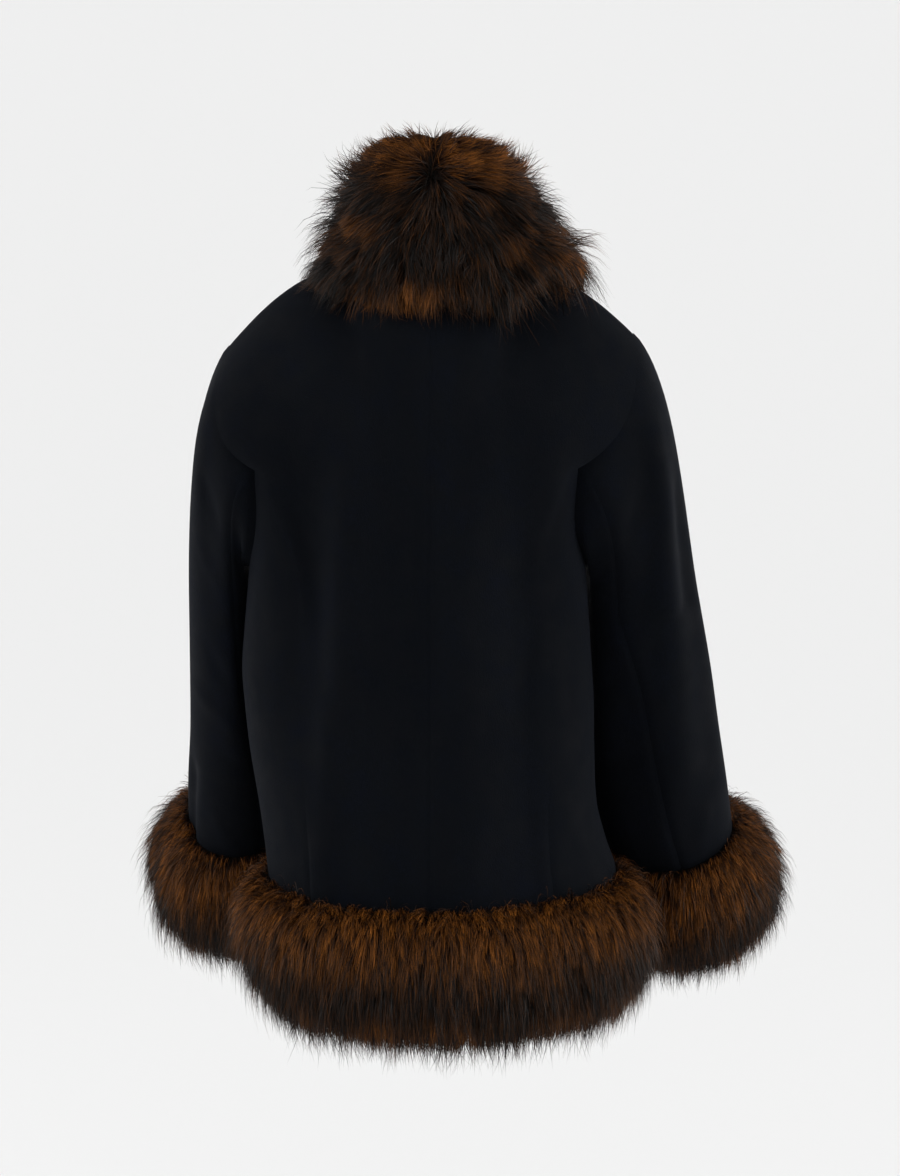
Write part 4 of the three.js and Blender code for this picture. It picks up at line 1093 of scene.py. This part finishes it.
def make_hem(hair, ground):
    """The hem's band: its ground all round, and its hair in a back and a front half."""
    rng = np.random.default_rng(11)
    end = front_edge(np.array([-660.0]))[0]
    angle = np.linspace(-end, end, 240)[None]
    down, out = fur_profile(HEM_FUR, 0.74, 0.9)
    ends = mix(0.8, 1, ramp(pi - np.abs(angle), 0, 0.16))
    outer = hem_surface(down, out * hem_press(angle) * ends, angle)
    inner = hem_surface(FUR_INSIDE, np.array([[-CLOTH]]), angle)
    rows = np.concatenate([outer, inner]).transpose(1, 0, 2)
    ground_piece("hem_fur_ground", rows, False, ground, "hem_fur")
    behind = np.abs(angle) <= pi / 2
    for half, within in (("back", behind), ("front", ~behind)):
        weight = np.broadcast_to(within * 1.0, outer.shape[:2])
        for word, count in HEM_HAIRS[half].items():
            root, normal, v, u = scatter(rng, outer, 1, count, weight)
            at = np.interp(v, np.linspace(0, 1, len(down)), down[:, 0])
            turn = mix(-end, end, u)
            lay = np.tile([0.0, 0.0, -1.0], (count, 1))
            band_hair(rng, f"hem_fur_{word}_{half}", word, root, normal, lay, at, HEM_FUR, turn,
                      hem_press(turn), hair, "hem_fur")


def make_cuff(name, hair, ground):
    """A cuff's band: its ground and its hair, combed down along the sleeve."""
    rng = np.random.default_rng(23 if name == "left" else 29)
    turn = np.linspace(0, 2 * pi, 121)[None]
    down, out = fur_profile(CUFF_FUR, 0.82, 1.3)
    outer = cuff_surface(name, down, out * cuff_press(turn), turn)
    inner = cuff_surface(name, FUR_INSIDE, np.array([[-CLOTH]]), turn)
    rows = np.concatenate([outer, inner])[:, :-1].transpose(1, 0, 2)
    node = f"cuff_fur_{name}"
    ground_piece(f"{node}_ground", rows, True, ground, node)
    for word, count in CUFF_HAIRS.items():
        root, normal, v, u = scatter(rng, outer, -SIDES[name], count)
        at = np.interp(v, np.linspace(0, 1, len(down)), down[:, 0])
        along = sleeve_frame(name, 1 + at / sleeve_unit(name))[1]
        lay = unit(along + np.array([0, 0, -0.6]))
        turn = 2 * pi * u
        pressed = cuff_press(turn)
        if name == "left":  # the long hair low on this cuff's outer side
            pressed = pressed * (1 + 1.2 * ramp(at, 40, 90) * np.clip(np.cos(turn), 0, 1))
        band_hair(rng, f"{node}_{word}", word, root, normal, lay, at, CUFF_FUR, turn + 0.7,
                  pressed, hair, node)


def shoulder_heights():
    """The coat's greatest height over a place, from a map of the panels' points in cells of 4 mm."""
    cell, reach = 4.0, 260
    size = int(2 * reach / cell)
    heights = np.full((size, size), -1000.0)

    def place(*values):
        return tuple(np.clip(((value + reach) / cell).astype(int), 0, size - 1) for value in values)

    s, rise = np.linspace(0, 1, 280)[None], np.linspace(1, 2, 220)[:, None]
    for name in SIDES:
        for behind in (True, False):
            points = body_panel(name, s, rise, behind).reshape(-1, 3)
            np.maximum.at(heights, place(points[:, 0], points[:, 1]), points[:, 2])
    return lambda x, y: heights[place(x, y)]


def neck_line():
    """The neckline's distance from the collar's middle and its height, by angle from the centre back."""
    way = np.linspace(0, 1, 60)
    points = np.concatenate([neckline(name, way, behind) for name in SIDES for behind in (True, False)])
    x = points[:, 0] - COLLAR_LEAN[0]
    angle = np.arctan2(x, points[:, 1])
    order = np.argsort(angle)
    reach = np.hypot(x, points[:, 1])
    return angle[order], reach[order], points[order, 2]


def collar_sections(angle, floor, inset):
    """The collar's closed section at each angle, as (reach, height) control points: over the crest, down
    the outside, in over the coat and up the inside, drawn in from the fur's outer reach by the inset."""
    turn = np.degrees(np.abs(angle))
    row = {k: follow(COLLAR, k, turn) for k in range(1, COLLAR.shape[1])}
    crest = row[CREST]
    bottom = np.where(angle > 0, row[BOTTOM_LEFT], row[BOTTOM_RIGHT])
    near, reach, rise = neck_line()
    neck, neck_z = np.interp(angle, near, reach), np.interp(angle, near, rise)

    def place(reach, z):
        middle = mix(*COLLAR_LEAN, np.clip(z / crest, 0, 1))
        return stack(middle + reach * np.sin(angle), reach * np.cos(angle), z)

    def on_coat(reach, z, seat=2.0):
        point = place(reach, z)
        point[..., 2] = np.maximum(z, floor(point[..., 0], point[..., 1]) + seat)
        return point

    def level(share):
        return mix(crest, bottom, share)

    edge = row[EDGE] - inset - 1
    return np.stack([
        place(mix(row[INNER], row[TOP], 0.5), crest - 0.95 * inset),
        place(row[TOP] - 0.7 * inset, crest - 1.1 * inset - 4),
        place(mix(row[TOP], row[HIGH], 0.6) - inset, level(0.28)),
        place(row[HIGH] - inset, level(0.46)),
        on_coat(row[LOW] - inset, level(0.68)),
        on_coat(edge, level(0.86)),
        on_coat(edge - 1, bottom + 9),
        on_coat(edge - 10, bottom + 4),
        on_coat(mix(edge - 10, neck, 0.5), bottom + 2, 1.5),
        on_coat(neck + 3, neck_z, 1.5),
        place(neck - CLOTH - 1, neck_z + 4),
        place(mix(neck - 5, row[INNER], 0.6) + 3, mix(neck_z, crest, 0.45)),
        place(row[INNER] + 5, crest - 1.3 * inset),
    ])


# Brown and dark patches of the collar, by their middle in millimetres across and up, half width, half
# height and how much browner, or darker where below zero, they are
COLLAR_PATCHES = [
    (-6, 140, 130, 26, 0.9),
    (-90, 108, 40, 18, 0.55),
    (96, 96, 24, 16, 0.5),
    (34, 92, 30, 16, -0.55),
    (-24, 100, 22, 10, -0.3),
    (-92, 78, 40, 8, -0.75),
    (-110, 60, 40, 11, 0.7),
    (64, 70, 30, 10, 0.35),
    (-24, 52, 56, 24, -0.6),
    (104, 48, 30, 12, 0.5),
    (86, 26, 36, 12, -0.4),
    (10, 16, 34, 11, 0.35),
    (-124, 40, 30, 12, 0.6),
    (58, 4, 34, 10, 0.3),
    (-70, 6, 44, 12, -0.4),
]


def collar_brown(root):
    """How brown the collar is at a place: its patches behind, and the same turned round on the front."""
    x = np.where(root[:, 1] > 0, root[:, 0], -root[:, 0])
    share = 0.2 + 0.16 * np.sin(x / 19 + root[:, 2] / 12) + 0.14 * np.sin(x / 8 - root[:, 2] / 13 + 1)
    for across, up, wide, tall, amount in COLLAR_PATCHES:
        share = share + amount * np.exp(-(((x - across) / wide) ** 2) - ((root[:, 2] - up) / tall) ** 2)
    return np.clip(share, 0.03, 0.97)


def collar_lay(turn, above, low):
    """The way in which the collar's fur lies: from a whorl behind, at about three quarters of its height,
    upwards above it, downwards below it and to both sides."""
    across = turn * 100 - 4
    near = np.exp(-((across / 80) ** 2) - (above / 40) ** 2)
    flare = np.clip(across / 26, -1, 1) * mix(1.25 * near, 0.9, ramp(np.abs(across), 20, 95))
    rises = np.clip(above / 30, mix(-0.75, -1, low), 0.35)
    sideways = stack(np.cos(turn), -np.sin(turn), 0 * turn)
    return stack(0 * turn, 0 * turn, rises) + sideways * (flare * mix(1, 0.6, low))[:, None]


def make_collar(hair, ground):
    """The collar's ground, and its hair in a left and a right half."""
    rng = np.random.default_rng(37)
    floor = shoulder_heights()
    end = radians(COLLAR_END)
    angle = np.linspace(-end, end, 200)
    rows = close_section(collar_sections(angle, floor, COLLAR_PILE))
    ground_piece("collar_fur_ground", rows.transpose(1, 0, 2), False, ground, "collar_fur")
    # hair grows from the inside's upper part over the crest to the bottom edge, thinner on the first rows
    inside_rows, outside_rows = 8, 32
    outside = np.concatenate([rows[-inside_rows:], rows[:outside_rows]])
    for half, within in (("left", angle >= 0), ("right", angle < 0)):
        weight = np.broadcast_to(within * 1.0, outside.shape[:2]).copy()
        weight[:inside_rows] *= 0.6
        for word, count in COLLAR_HAIRS.items():
            root, normal, _, u = scatter(rng, outside, 1, count, weight)
            turn = mix(-end, end, u)
            above = root[:, 2] - 0.73 * follow(COLLAR, CREST, np.degrees(np.abs(turn)))
            low = ramp(-root[:, 2], -70, 10)
            lay = collar_lay(turn, above, low)
            inside = np.sum(normal * stack(np.sin(turn), np.cos(turn), 0 * turn), axis=-1) < -0.1
            hang = 1 - 0.35 * np.sin(turn) * low  # the fur falls further over the right shoulder
            top = ramp(above, 0, 24)
            guard = word == "guard"
            # at the sides long guard hair stands out of shorter underfur
            flank = ramp(np.abs(turn), 0.6, 1.1)
            longer = mix(1.35, 1.65, flank) if guard else mix(1, 0.8, flank)
            length = mix(mix(29, 17, top), 13, inside) * hang * longer
            lift = mix(mix(0.34, 0.26, top), 0.3, inside) * (1.1 if guard else 1)
            brown = coloured(rng, word, collar_brown(root))
            make_hair(f"collar_fur_{word}_{half}", rng, word, root, normal, lay, length, lift, brown,
                      HAIRS[word]["collar"], hair, "collar_fur", COLLAR_UNRULY, COLLAR_LOCK, floor)


# The picture

# Strength of the surroundings: in front of the camera, and in the room behind it
BACKDROP = 0.94
ROOM = 0.3

# Soft boxes far off behind the camera: direction, half angle in degrees of the part at full strength and
# of the whole box, and strength
SOFT_BOXES = [
    ((0.82, 0.38, 0.42), 8, 32, 4.6),
    ((-0.93, 0.3, 0.2), 8, 30, 7.5),
    ((0.1, 0.6, 0.8), 10, 40, 1.0),
]

# Light panels: place and size in metres, power in watts
LIGHTS = [
    ("left_edge_panel", (2.4, -0.9, 0.6), (0.6, 2.2), 7),
    ("right_edge_panel", (-2.4, -0.9, 0.6), (0.6, 2.2), 7),
]
LIGHTS_AIM = (0, 0, -0.35)

# The floor, in metres
FLOOR_Z = -1.5
FLOOR_RADIUS = 120.0

# The camera: its place in metres, how many degrees it looks down, its focal length in pixels of the frame,
# and how far its aim is then turned to the right and down, as slopes, so that the coat lies in the frame as
# in the photo
CAMERA_PLACE = (0, 3.484, 0.335)
CAMERA_PITCH = 5.5
FRAME_HEIGHT = 1176
FOCAL = 3518.0
AIM_RIGHT = 20 / 3500
AIM_DOWN = 303 / 3500


def make_floor():
    """A plain pale floor that runs to the horizon."""
    count = 96
    turn = np.linspace(0, 2 * pi, count, endpoint=False)
    rim = stack(FLOOR_RADIUS * np.cos(turn), FLOOR_RADIUS * np.sin(turn), FLOOR_Z)
    points = np.concatenate([[[0, 0, FLOOR_Z]], rim]) / MM
    ahead = np.arange(count)
    fan = np.stack([np.zeros(count, int), ahead + 1, (ahead + 1) % count + 1], axis=-1)
    floor = make_mesh("studio_floor", points, np.zeros((0, 4), int), fan)
    material, tree, shader = new_material("painted_studio_floor")
    set_inputs(tree, shader, {"Base Color": hex_colour("#dfdfdf"), "Roughness": 0.9})
    floor.data.materials.append(material)


def make_light():
    """Soft light: a pale world, weaker behind the camera and with soft boxes there, and two edge panels."""
    world = bpy.data.worlds.new("studio")
    world.use_nodes = True
    tree = world.node_tree
    sky = tree.nodes["Background"]
    ahead = add_node(tree, "ShaderNodeTexCoord").outputs["Generated"]
    depth = add_node(tree, "ShaderNodeSeparateXYZ", inputs={"Vector": ahead}).outputs["Y"]
    strength = remapped(tree, depth, -0.1, 0.35, BACKDROP, ROOM)
    for towards, inner, outer, power in SOFT_BOXES:
        facing_box = add_node(tree, "ShaderNodeVectorMath", {"operation": "DOT_PRODUCT"}, {
            0: ahead, 1: Vector(towards).normalized()}).outputs["Value"]
        box = add_node(tree, "ShaderNodeMapRange", {"interpolation_type": "SMOOTHSTEP"}, {
            "Value": facing_box, "From Min": cos(radians(outer)), "From Max": cos(radians(inner))})
        strength = weighted_sum(tree, box.outputs["Result"], power, strength)
    set_inputs(tree, sky, {"Color": hex_colour("#ececec"), "Strength": strength})
    bpy.context.scene.world = world

    for name, place, size, power in LIGHTS:
        light = bpy.data.lights.new(name, "AREA")
        light.shape = "RECTANGLE"
        light.size, light.size_y = size
        light.energy = power
        lamp = link(bpy.data.objects.new(name, light))
        lamp.location = place
        lamp.rotation_euler = (Vector(LIGHTS_AIM) - Vector(place)).to_track_quat("-Z", "Y").to_euler()


def make_camera():
    """The photograph's view, from behind and a little above the shoulders."""
    pitch = radians(CAMERA_PITCH)
    ahead = Vector((0, -cos(pitch), -sin(pitch)))
    up = Vector((0, -sin(pitch), cos(pitch)))
    aim = ahead + Vector((-1, 0, 0)) * AIM_RIGHT - up * AIM_DOWN
    camera = bpy.data.cameras.new("photo_camera")
    camera.sensor_width = 36
    camera.lens = camera.sensor_width * FOCAL / FRAME_HEIGHT
    camera.clip_end = 400
    view = link(bpy.data.objects.new("photo_camera", camera))
    view.location = CAMERA_PLACE
    view.rotation_euler = aim.to_track_quat("-Z", "Y").to_euler()
    bpy.context.scene.camera = view


make_wool(wool_surfaces(), felted_wool())
hair, ground = fur_fibre(), fur_ground()
make_hem(hair, ground)
for side in SIDES:
    make_cuff(side, hair, ground)
make_collar(hair, ground)
make_floor()
make_light()
make_camera()
bpy.context.scene.view_settings.view_transform = "Standard"
